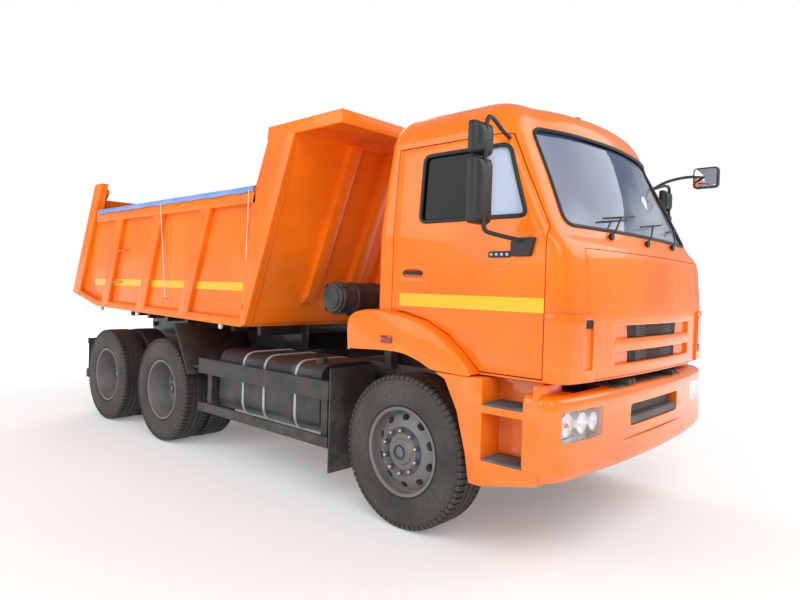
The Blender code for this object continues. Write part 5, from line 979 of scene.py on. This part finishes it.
# On the right the slot's top holds a dark block of painted shadow; on the left a red marker lamp.
FILLINGS = {"left": (0.017, marker_red, "lamp", low + 0.06), "right": (0.007, slot_painted_shade, "black_plastic", top - 0.048)}
for side_name, side in SIDES:
    corner = rect(FAIRING["inner"] * side, FAIRING["outer"] * side, FAIRING["low"], FAIRING["top"], 0.02, 4)
    slot_cut = front_prism(rect(inner * side, outer * side, low, top, 0.015, 3), -1.0, -1.4)
    piece(f"corner_fairing_{side_name}", cab_form(-FAIRING["proud"]), cab_paint, "cab", "orange_paint",
          cuts=[cab_form(0.004), slot_cut], keeps=[front_prism(corner, -1.043)], bevel=0.006, steps=3)
    proud, finish, slot, lens_low = FILLINGS[side_name]
    filling = [(inner * side, lens_low), (outer * side, lens_low), (outer * side, top), (inner * side, top)]
    piece(f"fairing_slot_{side_name}", cab_form(-proud), finish, "cab", slot, cuts=[cab_form(0.002)],
          keeps=[front_prism(filling, -1.0, -1.4)])
wiper_bits = []
for x, z in WIPER_ROOTS:
    root = on_front(x, z, 0.012)
    end = on_front(x + BLADE_MIDDLE[0], z + BLADE_MIDDLE[1], 0.026)
    edge = [(x + a + (c - a) * k / 8, z + b + (d - b) * k / 8) for (a, b), (c, d) in (BLADE,) for k in range(9)]
    pivot = turned([(0, 0), (0, 0.022), (0.02, 0.02), (0.026, 0.012), (0.026, 0)], 18, "Y")
    wiper_bits += [tube([on_front(x, z, -0.01), root, on_front(x + 0.05, z + 0.04, 0.034), end], 0.006, 8),
                   tube([on_front(a, b, 0.0165) for a, b in edge], 0.0065, 6),
                   moved(pivot, root + Vector((0, -0.01, 0)))]
piece("wipers", together(wiper_bits), black_plastic, "cab", "black_plastic", smooth=50)

# ---------------------------------------------------------------- bumper and steps
# A moulded bumper wraps round the front, with a tread slot in its middle, a lamp at each end,
# and two steps behind each lamp. Ribbed rubber covers every tread.

BUMPER_ROWS = ((0.575, 0.022), (0.60, 0.008), (0.65, 0.0), (0.80, 0.0), (0.97, 0.0), (1.02, 0.010), (1.04, 0.035))
LAMP = dict(inner=0.76, outer=1.16, low=0.79, top=0.96)
STEP_ZS = (0.94, 0.62)


def bumper_form(inset=0.0):
    """The bumper's outer form, or the same form moved inwards."""
    return lofted(smoothed([plan_ring(1.225 - pull - inset, CAB_FRONT + pull + inset, -0.96, 0.01, z)
                            for z, pull in BUMPER_ROWS], CAB_FRONT + inset))


def step_block(side):
    """The block behind the bumper's end that holds the two steps."""
    reach = arch_inner()[0][0] + 0.61
    curve = [(-0.61 + reach * a, 0.467 + 0.626 * b) for a, b in ((0.1, 0.26), (0.34, 0.66), (0.66, 0.94), (0.95, 1.0))]
    return prism([(-1.058, 0.547), (-0.69, 0.467), (-0.61, 0.467), *curve, (-1.058, 1.093)], "X", side * 0.96,
                 side * 1.225)


def lamp_opening(side, margin, radius):
    """The outline of a headlight's opening, drawn in by margin."""
    return rect(side * (LAMP["inner"] + margin), side * (LAMP["outer"] - margin), LAMP["low"] + margin,
                LAMP["top"] - margin, radius, 4)


bumper_paint = orange("bumper_paint", 0.3, 0.6, 0.3, low=0.4, high=1.5)
bumper_cuts = [block((-0.95, -1.125, 0.3), (0.95, -0.5, 1.3)),
               front_prism(rect(-0.41, 0.41, 0.795, 0.930, 0.03, 5), -1.17, -1.5),
               front_prism(rect(-0.75, 0.75, 0.720, 0.734, 0.006, 2), -1.230, -1.5)]
bumper_cuts += [front_prism(lamp_opening(side, 0, 0.018), -1.10, -1.5) for _, side in SIDES]
piece("bumper_cover", bumper_form(), bumper_paint, "chassis", "orange_paint", "bumper", cuts=bumper_cuts, bevel=0.004)
for side_name, side in SIDES:
    pockets = [block((side * 1.025, -1.02, low), (side * 1.5, -0.69, high)) for low, high in zip(STEP_ZS, (1.3, 0.895))]
    piece(f"step_panel_{side_name}", step_block(side), bumper_paint, "chassis", "orange_paint", cuts=pockets,
          bevel=0.008, steps=3)
tread_rubber = dusty("tread_rubber", srgb(88, 86, 88), DUST, 0.5, 0.7, 0.0, (60.0, 0.002), low=0.5, high=1.6)
treads = []
for _, side in SIDES:
    for z in STEP_ZS:
        bar = block((side * 1.04, -1.004, z + 0.011), (side * 1.216, -0.990, z + 0.018))
        treads += [block((side * 1.03, -1.012, z), (side * 1.222, -0.70, z + 0.012)),
                   repeated(bar, row_tree, tread_rubber, Count=13, Step=(0, 0.0235, 0))]
piece("step_treads", together(treads), tread_rubber, "chassis", "black_plastic", bevel=0.0015)
top_bar = block((-0.552, -1.198, 1.040), (-0.540, -1.068, 1.047))
slot_bar = block((-0.385, -1.228, 0.842), (-0.373, -1.172, 0.850))
treads = [block((-0.56, -1.205, 1.036), (0.56, -1.06, 1.0415)),
          repeated(top_bar, row_tree, tread_rubber, Count=46, Step=(0.024, 0, 0)),
          repeated(slot_bar, row_tree, tread_rubber, Count=33, Step=(0.0237, 0, 0)),
          block((-0.41, -1.178, 0.795), (0.41, -1.170, 0.930)), block((-0.395, -1.232, 0.800), (0.395, -1.170, 0.843))]
piece("bumper_treads", together(treads), tread_rubber, "chassis", "black_plastic")

# ---------------------------------------------------------------- headlights
# Clear moulded covers over three chromed bowls in a silver housing, side by side and wider
# towards the outside. The outer bowl holds the amber turn signal.

chrome = dusty("lamp_chrome", srgb(246, 248, 250), DUST, 0.02, 0.22, 0.55, (50.0, 0.0004))
cover_glass, shader, place = bare_material("lamp_cover")
plug(shader, "Base Color", place.noise(3.0).fade(0.3, 0.7).mix((0.94, 0.96, 0.98), (1.0, 1.0, 1.0)))
plug(shader, "Roughness", place.noise(30.0).fade(0.4, 0.8) * 0.05 + 0.02)
plug(shader, "Transmission Weight", 0.95)
plug(shader, "IOR", 1.25)
amber = dusty("amber_lens", srgb(236, 120, 20), DUST, 0.05, 0.12, 0.0, (80.0, 0.001), 0.6)
lamp_silver = dusty("lamp_silver", srgb(232, 235, 240), DUST, 0.02, 0.35, 0.1, (60.0, 0.0006))
LAMP_Z, BOWLS = 0.875, ((0.822, 0.050, -1.175), (0.935, 0.056, -1.160), (1.062, 0.060, -1.135))
for side_name, side in SIDES:
    start = f"headlight_{side_name}"
    piece(f"{start}_cover", bumper_form(0.001), cover_glass, "chassis", "lamp", start, cuts=[bumper_form(0.005)],
          keeps=[front_prism(lamp_opening(side, 0.002, 0.017), -1.105, -1.5)])
    back = block((side * (LAMP["inner"] + 0.004), -1.118, LAMP["low"] + 0.004),
                 (side * (LAMP["outer"] - 0.004), -1.104, LAMP["top"] - 0.004))
    piece(f"{start}_housing", back, lamp_silver, "chassis", "lamp", bevel=0.003)
    bowls = []
    for x, r, y in BOWLS:
        bowl = [(y + 0.03, 0.004), (y + 0.026, r * 0.5), (y + 0.006, r * 0.92), (y - 0.008, r), (y - 0.008, r * 1.07),
                (y + 0.034, r * 1.07), (y + 0.034, 0)]
        bulb = [(y + 0.03, 0), (y + 0.028, 0.012), (y - 0.002, 0.011), (y - 0.012, 0.0)]
        bowls += [turned(bowl, 40, "Y", (side * x, 0, LAMP_Z)), turned(bulb, 20, "Y", (side * x, 0, LAMP_Z))]
    piece(f"{start}_bowls", together(bowls), chrome, "chassis", "lamp", smooth=30)
    signal = turned([(-1.135, 0), (-1.135, 0.014), (-1.150, 0.012), (-1.156, 0)], 20, "Y",
                    (side * BOWLS[-1][0], 0, LAMP_Z))
    piece(f"{start}_signal", signal, amber, "chassis", "lamp", smooth=40)

# ---------------------------------------------------------------- mirrors
# Moulded black heads with convex glass, on bent steel tubes from a foot on the door, and a
# strip of four screws below. A kerb mirror branches from the left arm and stands before the cab.

MIRROR = dict(x=1.40, y=-0.80, half=0.090, low=1.965, top=2.33, small_low=2.342, small_top=2.52)
mirror_glass = dusty("mirror_silver", srgb(196, 204, 216), DUST, 0.04, 0.03, 1.0, (20.0, 0.0001))


HEAD_ROWS = ((0.0, -0.055), (0.006, -0.028), (0.022, -0.008), (0.042, 0.0), (0.066, 0.0), (0.070, -0.004),
             (0.070, -0.010), (0.062, -0.012))
FOOT = ((-0.050, -0.055), (0.072, -0.055), (0.077, 0.030), (0.040, 0.050), (-0.078, 0.050))


def mirror_head(x, low, top):
    """A head that is domed at its front, with a lip round the glass at its back."""
    rings = []
    for y, grow in HEAD_ROWS:
        half = MIRROR["half"] + grow
        outline = rect(x - half, x + half, low - grow, top + grow, max(0.03 + grow * 0.3, 0.012), 6)
        rings.append([(a, MIRROR["y"] + y, b) for a, b in outline])
    return lofted(rings)


for side_name, side in SIDES:
    x, body, start = side * MIRROR["x"], f"door_{side_name}", f"mirror_{side_name}"
    spans = ((MIRROR["low"], MIRROR["top"]), (MIRROR["small_low"], MIRROR["small_top"]))
    front, near = MIRROR["y"] + 0.012, x - side * 0.02
    arm = through([(side * 1.156, -0.90, 1.885), (side * 1.20, -0.885, 1.890), (side * 1.33, -0.81, 1.915),
                   (near, front, 1.930), (x, front, 1.97), (x, front, 2.2), (x, front, 2.50), (near, front, 2.545),
                   (side * 1.32, front + 0.01, 2.552), (side * 1.2, -0.755, 2.52), (side * 1.10, -0.745, 2.495)], 6)
    foot = lofted([[(side * (1.1502 + lift), -0.895 + a * share, 1.855 + b * share) for a, b in rounded(FOOT, 0.012, 4)]
                   for lift, share in ((0.0, 1.0), (0.026, 0.98), (0.033, 0.88))])
    heads = [mirror_head(x, low, top) for low, top in spans]
    piece(f"{start}_heads", together([*heads, tube(arm, 0.0125, 12), foot]), black_plastic, body, "black_plastic",
          start, smooth=40)
    strip = prism(rect(-0.81, -0.66, 1.795, 1.832, 0.012, 4), "X", side * 1.1502, side * 1.160)
    piece(f"{start}_strip", strip, black_plastic, body, "black_plastic", bevel=0.002)
    screw = turned([(1.155, 0), (1.155, 0.009), (1.163, 0.009), (1.165, 0.006), (1.165, 0)], 14, "X",
                   (0, -0.790, 1.8135))
    screws = repeated(moved(screw, turn=Matrix.Diagonal((side, 1, 1))), row_tree, strap_zinc, Count=4,
                      Step=(0, 0.036, 0))
    bmesh.ops.recalc_face_normals(screws, faces=screws.faces)
    piece(f"{start}_screws", screws, strap_zinc, body, "bright_steel")
    half = MIRROR["half"] - 0.011
    panes = [prism(rect(x - half, x + half, low + 0.011, top - 0.011, 0.024, 6), "Y", MIRROR["y"] + 0.060,
                   MIRROR["y"] + 0.066) for low, top in spans]
    piece(f"{start}_glass", together(panes), mirror_glass, body, "glass", bevel=0.0015)

far_arm = through([(1.13, -0.748, 2.502), (1.18, -0.84, 2.56), (1.27, -0.98, 2.60), (1.385, -1.075, 2.605)], 6)
far_head = prism(rect(-1.185, -0.985, 2.515, 2.690, 0.035, 5), "X", 1.380, 1.430)
piece("kerb_mirror", together([tube(far_arm, 0.012, 12), far_head]), black_plastic, "door_left", "black_plastic",
      bevel=0.006)
far_pane = prism(rect(-1.172, -0.998, 2.528, 2.677, 0.026, 5), "X", 1.377, 1.381)
piece("kerb_mirror_glass", far_pane, mirror_glass, "door_left", "glass", bevel=0.001)

# ---------------------------------------------------------------- cab inside
# A moulded dashboard with a steering wheel on its column, and two seats: crowned pads of foam
# trimmed in dark woven cloth, each on a plain moulded base.

dash_plastic = dusty("dash_plastic", srgb(60, 62, 66), DUST, 0.05, 0.6, 0.0, (180.0, 0.0008))
softened("dashboard_moulding", "dashboard", dash_plastic, "cab", "grey_plastic", 0.004)
seat_cloth, shader, place = bare_material("seat_cloth")
weave, weft = (place.bands(direction, 90.0, 0.6) for direction in "XZ")
plug(shader, "Base Color", (weave * weft).fade(0.1, 0.8).mix(srgb(38, 40, 46), srgb(70, 74, 84)))
plug(shader, "Roughness", 0.9 - weave * 0.1)
plug(shader, "Normal", (weave * weft).bump(0.5, 0.002))


def cushion(size, place, turn, crown):
    """A crowned pad whose sides draw in between its corners."""
    bm = bmesh.new()
    bmesh.ops.create_cube(bm, size=1)
    bmesh.ops.subdivide_edges(bm, edges=bm.edges, cuts=9, use_grid_fill=True)
    w, l, h = size
    for vert in bm.verts:
        x, y, z = (c * 2 for c in vert.co)
        pull = 1 - 0.05 * (1 - x * x) * abs(y) ** 4
        side_pull = 1 - 0.05 * (1 - y * y) * abs(x) ** 4
        soft = (1 - abs(x) ** 4) * (1 - abs(y) ** 4)
        channel = 0.008 * math.exp(-((abs(x) - 0.62) / 0.05) ** 2)
        height = z * (h / 2) * (0.62 + 0.38 * soft) + (crown * soft - channel) * (z > 0)
        vert.co = Vector((x * w / 2 * side_pull, y * l / 2 * pull, height))
    return moved(bm, place, turn)


for side_name, side in SIDES:
    x = side * 0.6
    base = cushion((0.49, 0.50, 0.15), (x, -0.245, 1.545), Matrix.Rotation(math.radians(4), 3, "X"), 0.012)
    lean = cushion((0.48, 0.66, 0.13), (x, 0.035, 1.93), Matrix.Rotation(math.radians(98), 3, "X"), 0.012)
    seat = piece(f"seat_{side_name}_pads", together([base, lean]), seat_cloth, "cab", "seat_fabric",
                 f"seat_{side_name}", rounds=1)
    plinth = prism(rect(x - 0.19, x + 0.19, -0.44, -0.03, 0.04, 4), "Z", 1.2305, 1.47)
    piece(f"seat_{side_name}_base", plinth, dash_plastic, "cab", "grey_plastic", bevel=0.006)

# ---------------------------------------------------------------- roof lamps
# Three small domed marker lamps of dull amber plastic, oval in plan, stand side by side on
# the front of the roof.

LAMP_SHELL = ((-0.01, 0), (-0.01, 0.028), (0.014, 0.028), (0.026, 0.022), (0.032, 0.0))
lamp_shells = [moved(turned(LAMP_SHELL, 20, "Z"), on_skin((x, -0.69, 3), (0, 0, -1), 0.0), Matrix.Diagonal((1.4, 1, 1)))
               for x in (-0.16, 0.0, 0.16)]
roof_lens = dusty("roof_lens", srgb(150, 110, 80), DUST, 0.05, 0.2, 0.0, (60.0, 0.001), 0.5)
piece("roof_lamps", together(lamp_shells), roof_lens, "cab", "lamp", smooth=40)

# ---------------------------------------------------------------- bed
# Welded steel body: plain side sheets with box ribs and a top rail, a leaning front wall
# under a canopy that guards the cab, a sloped tail, and two long bearers underneath.

BED_HALF, PANEL_X, BED_INNER, RIB_LEAN = 1.245, 1.2, 1.17, 0.39
BED_FRONT, FRONT_LOW, FRONT_TOP = (1.743, 1.097), 1.2333, 2.765
RIB_FRONTS = (2.3, 3.206, 4.112)
HOOK_YS, ROPE_TOP_YS, HOOK_Z = (1.754, 3.15), (1.66, 3.20), 1.40


def underside(x, y, z):
    """The black underside of the bed."""
    return (1 - z.fade(1.222, 1.230)) * (1 - abs(x).fade(1.0, 1.02))


def bed_stripe(x, y, z):
    """The stripe's place on the sides."""
    return (z.within(1.54, 1.61) * y.within(1.68 + FRONT_AXLE_Y, 4.95 + FRONT_AXLE_Y)
            * abs(x).within(1.19, 1.2095, 0.003))


bed_paint = orange("bed_paint", 0.38, 0.2, 0.16, bed_stripe, 1.0, 2.9, underside)


def head(z, back=0.0):
    """The point of the front wall's outer face at a height, moved back."""
    low, top = BED_FRONT
    return low + (top - low) * (z - FRONT_LOW) / (FRONT_TOP - FRONT_LOW) + back, z


def bed_plates():
    """The plates and posts of one side, each with its outline in (y, z) and its two depths."""
    tail_top, tail_low, low_front = (4.9, 2.7), (5.54, 1.432), (head(1.303)[0], 1.2563)
    outer = (PANEL_X - 0.004, BED_HALF)
    yield [(1.785, 1.233), (4.81, 1.286), tail_low, tail_top, (4.865, 2.7233), (4.7, 2.7175), (4.817, 2.4), (1.6, 2.4),
           (1.437, 2.765), (1.437, 2.769), (1.097, 2.769), low_front], (BED_INNER, PANEL_X)
    for front in RIB_FRONTS:
        low = front + (2.274 - 1.286) * RIB_LEAN
        yield [(front, 2.274), (front + 0.17, 2.274), (low + 0.17, 1.286), (low, 1.286)], outer
    yield [(4.7, 2.7175), (4.865, 2.7175), tail_top, tail_low, (5.34, 1.397)], outer
    yield [(1.097, 2.769), (1.437, 2.769), (1.6, 2.4), (1.702, 2.06), (1.785, 1.233), low_front], outer
    yield [(1.596, 2.27), (4.821, 2.27), (4.821, 2.4), (1.596, 2.4)], (1.15, BED_HALF)
    yield [(1.781, 1.233), (4.81, 1.286), (5.536, 1.432), (5.513, 1.502), (4.81, 1.356), (1.781, 1.303)], (
        PANEL_X - 0.004, BED_HALF - 0.004)


BEARER = ((1.95, 1.268), (1.95, 0.9603), (4.95, 0.9603), (4.985, 0.968), (5.02, 0.992), (5.038, 1.03),
          (5.0397, 1.05), (5.0397, 1.321), (4.81, 1.321))
EYE_PLATE = ((2.67, 1.268), (2.71, 1.185), (2.722, 1.157), (2.75, 1.145), (2.778, 1.157), (2.79, 1.185), (2.83, 1.268))
FLOOR_PLATE = ((1.785, 1.2333), (4.81, 1.286), (5.37, 1.3986), (5.37, 1.4476), (4.81, 1.356), (1.75, 1.303))
FRONT_RIB = (head(2.769, -0.08), head(2.769, 0.004), head(1.443, 0.004), head(1.443, -0.027), head(1.513, -0.08))
plates = [prism(outline, "X", side * a, side * b) for _, side in SIDES for outline, (a, b) in bed_plates()]
plates.append(prism(FLOOR_PLATE, "X", -1.174, 1.174))
plates.append(prism([head(2.769), head(2.769, 0.05), head(1.268, 0.05), head(1.268)], "X", -PANEL_X, PANEL_X))
plates += [prism(FRONT_RIB, "X", BED_HALF * share - 0.06, BED_HALF * share + 0.06)
           for share in (-0.52, -0.15, 0.15, 0.52)]
for _, side in SIDES:
    plates.append(prism(BEARER, "X", side * 0.4 - 0.04, side * 0.4 + 0.04))
    plates.append(prism(EYE_PLATE, "X", side * 0.0403, side * 0.0603))
beam = prism([(2.0, 1.24), (2.0, 1.13), (2.06, 1.13), (2.06, 1.242)], "X", -0.88, 0.88)
plates.append(repeated(beam, row_tree, bed_paint, Count=7, Step=(0, 0.44, 0.0077)))
piece("bed_body", together(plates), bed_paint, "bed", "orange_paint", "bed", bevel=0.005)
canopy = prism([(0.555, 2.765), (0.555, 2.862), (1.437, 2.862), (1.4545, 2.765)], "X", -BED_HALF, BED_HALF)
piece("bed_canopy", canopy, bed_paint, "bed", "orange_paint", cuts=[block((-1.215, 0.585, 2.7), (1.215, 1.067, 2.850))],
      bevel=0.005)
HOOK = ((1.196, 0.03), (1.247, 0.026), (1.250, 0.0), (1.243, -0.02), (1.230, -0.012))
rungs = []
for _, side in SIDES:
    for z in (1.581, 1.926):
        y = RIB_FRONTS[2] + (2.27 - z) * RIB_LEAN
        rungs.append(tube([(side * 1.196, y - 0.18, z), (side * 1.235, y - 0.18, z), (side * 1.235, y + 0.004, z)],
                          0.008, 8))
    rungs += [tube([(side * x, y, HOOK_Z + z) for x, z in HOOK], 0.0065, 8) for y in HOOK_YS]
piece("bed_rungs_and_hooks", together(rungs), bed_paint, "bed", "orange_paint", smooth=50)

# ---------------------------------------------------------------- lamps under the sill
# Three small clear marker lamps on each side, turned from one profile, hang under the bed's
# lower edge and move with the bed.

SILL_LAMPS = ((2.13, 1.239), (3.78, 1.268), (4.70, 1.284))
SILL_LENS = ((-0.045, 0), (-0.045, 0.012), (-0.036, 0.020), (-0.014, 0.022), (0.004, 0.016), (0.004, 0))
lamp_clear = dusty("lamp_clear", srgb(226, 222, 214), DUST, 0.1, 0.2, 0.0, (80.0, 0.0006), 0.4)
for side_name, side in SIDES:
    lenses = [turned([(z + depth, radius) for depth, radius in SILL_LENS], 18, "Z", (side * 1.215, y, 0))
              for y, z in SILL_LAMPS]
    piece(f"sill_lamps_{side_name}", together(lenses), lamp_clear, "bed", "lamp", smooth=40)

# ---------------------------------------------------------------- tailgate
# A steel flap on the slope of the tail, stiffened by two level bars and five uprights, that
# hangs from two arms at the top of the tail. It has the bed's paint.


GATE_HALF, GATE_LOW, GATE_TOP = 1.164, 1.42, 2.55


def tail(z, inset):
    """The point of the sloped tail at a height, moved inwards."""
    return 5.54 + (4.9 - 5.54) * (z - 1.432) / (2.7 - 1.432) - inset, z


def gate_bar(x0, x1, z0, z1, out, deep):
    """A plate along the tail between two depths."""
    return prism([tail(z0, out), tail(z1, out), tail(z1, deep), tail(z0, deep)], "X", x0, x1)


gate = [gate_bar(-GATE_HALF, GATE_HALF, GATE_LOW, GATE_TOP, 0.055, 0.09)]
gate += [gate_bar(-GATE_HALF, GATE_HALF, z0, z1, 0.02, 0.058) for z0, z1 in ((GATE_LOW, 1.54), (2.44, GATE_TOP))]
gate += [gate_bar(x - 0.055, x + 0.055, 1.45, 2.52, 0.021, 0.058) for x in (-1.105, -0.56, 0.0, 0.56, 1.105)]
arm = [(4.815 + 0.045 * math.cos(a), 2.63 + 0.045 * math.sin(a)) for a in np.linspace(0.35, 3.5, 12)]
arm += [tail(2.48, 0.086), tail(2.48, 0.024)]
gate += [prism(arm, "X", side * GATE_HALF, side * 1.124) for _, side in SIDES]
piece("tailgate_flap", together(gate), bed_paint, "tailgate", "orange_paint", "tailgate", bevel=0.004)

# ---------------------------------------------------------------- cover sheet
# Blue coated tarpaulin over the load space, drawn over both rails and left a little slack
# between its ties, with a hem round its edge.

SHEET = dict(front=1.606, rear=4.752, half=1.2635, top=2.405, drop=0.052, crown=0.10)
tarpaulin, shader, place = bare_material("blue_tarpaulin")
sheet_uv = place.node("ShaderNodeUVMap", {"uv_map": "sheet"}, {})
warp, weft = (sheet_uv.bands(direction, 55.0, 0.3) for direction in "XY")
cloud = place.noise(2.4, 6.0)
sheet_tone = cloud.fade(0.3, 0.7).mix(srgb(84, 128, 206), srgb(134, 168, 222))
plug(shader, "Base Color", ((1 - warp * weft) * 0.35).mix(sheet_tone, srgb(168, 186, 222)))
plug(shader, "Roughness", 0.5 + cloud * 0.2)
plug(shader, "Normal", (warp * weft).bump(0.45, 0.0015))
ACROSS, ALONG, FLAT_SHARE = 72, 150, 0.93
length = SHEET["rear"] - SHEET["front"]
half_width = SHEET["half"] - 0.003


def sheet_point(s, v):
    """The sheet's point at shares of its half width and its length: crowned, sagging and waved at its hem."""
    if abs(s) <= FLAT_SHARE:
        t = abs(s) / FLAT_SHARE
        sag = 0.5 - 0.5 * math.cos(2 * math.pi * v * 4)
        x = t * (half_width - 0.004)
        z = SHEET["top"] + SHEET["crown"] * (1 - t ** 4) - 0.028 * sag * (1 - t ** 6)
        z += 0.008 * math.sin(v * 61 + 3 * t) * (1 - t) * t * 3 + 0.004 * (abs(s) < FLAT_SHARE)
    else:
        t = (abs(s) - FLAT_SHARE) / (1 - FLAT_SHARE)
        wave = 0.5 + 0.5 * math.sin(v * 2 * math.pi * 9 + 1.3 * math.sin(v * 17))
        x = half_width - 0.003 * wave * t
        z = SHEET["top"] - (SHEET["drop"] - 0.004 - 0.008 * wave) * t
    return Vector((math.copysign(x, s), SHEET["front"] + 0.004 + (length - 0.008) * v, z))


sheet_bm = bmesh.new()
shares = [-1 + 2 * k / ACROSS for k in range(ACROSS + 1)]
grid = [[sheet_bm.verts.new(sheet_point(s, j / ALONG)) for s in shares] for j in range(ALONG + 1)]
layer = sheet_bm.loops.layers.uv.new("sheet")
for j in range(ALONG):
    for k in range(ACROSS):
        corners = ((j, k), (j, k + 1), (j + 1, k + 1), (j + 1, k))
        face = sheet_bm.faces.new([grid[a][b] for a, b in corners])
        for loop, (a, b) in zip(face.loops, corners):
            loop[layer].uv = (shares[b] * half_width, a / ALONG * length)
row = [sheet_point(s, 0) for s in shares]
flat_width = sum((b - a).length for a, b in zip(row, row[1:]))
tarp = piece("cover_sheet", sheet_bm, tarpaulin, "bed", "cover_sheet", "cover", wall=0.0025, smooth=80)

# ---------------------------------------------------------------- sheet ropes
# White nylon ropes that pull the sheet down on both sides, each knotted to its hem and hooked
# over a welded hook low on the body. They are tight, so they run straight.

ROPE_RADIUS = 0.004
HEM_X, HOOK_X, HEM_Z = 1.2675, 1.223, 2.385
rope_nylon, shader, place = bare_material("rope_nylon")
lay_lines = place.bands("Z", 70.0, 1.0)
plug(shader, "Base Color", lay_lines.fade(0.2, 0.8).mix(srgb(196, 192, 182), srgb(240, 238, 230)))
plug(shader, "Roughness", 0.8 - lay_lines * 0.15)
plug(shader, "Normal", lay_lines.bump(0.6, 0.002))
for side_name, side in SIDES:
    for number, (top_y, y) in enumerate(zip(ROPE_TOP_YS, HOOK_YS)):
        hem, hook = Vector((side * HEM_X, top_y, HEM_Z)), Vector((side * HOOK_X, y, HOOK_Z - 0.006))
        route = [hem + (hook - hem) * t for t in np.linspace(0, 1, 16)]
        rope = piece(f"sheet_rope_{side_name}_{number}", tube(route, ROPE_RADIUS), rope_nylon, "bed", "cover_sheet",
                     smooth=60)
        path = [tuple(point + Vector((0, FRONT_AXLE_Y, 0))) for point in route]
        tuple(path[0])
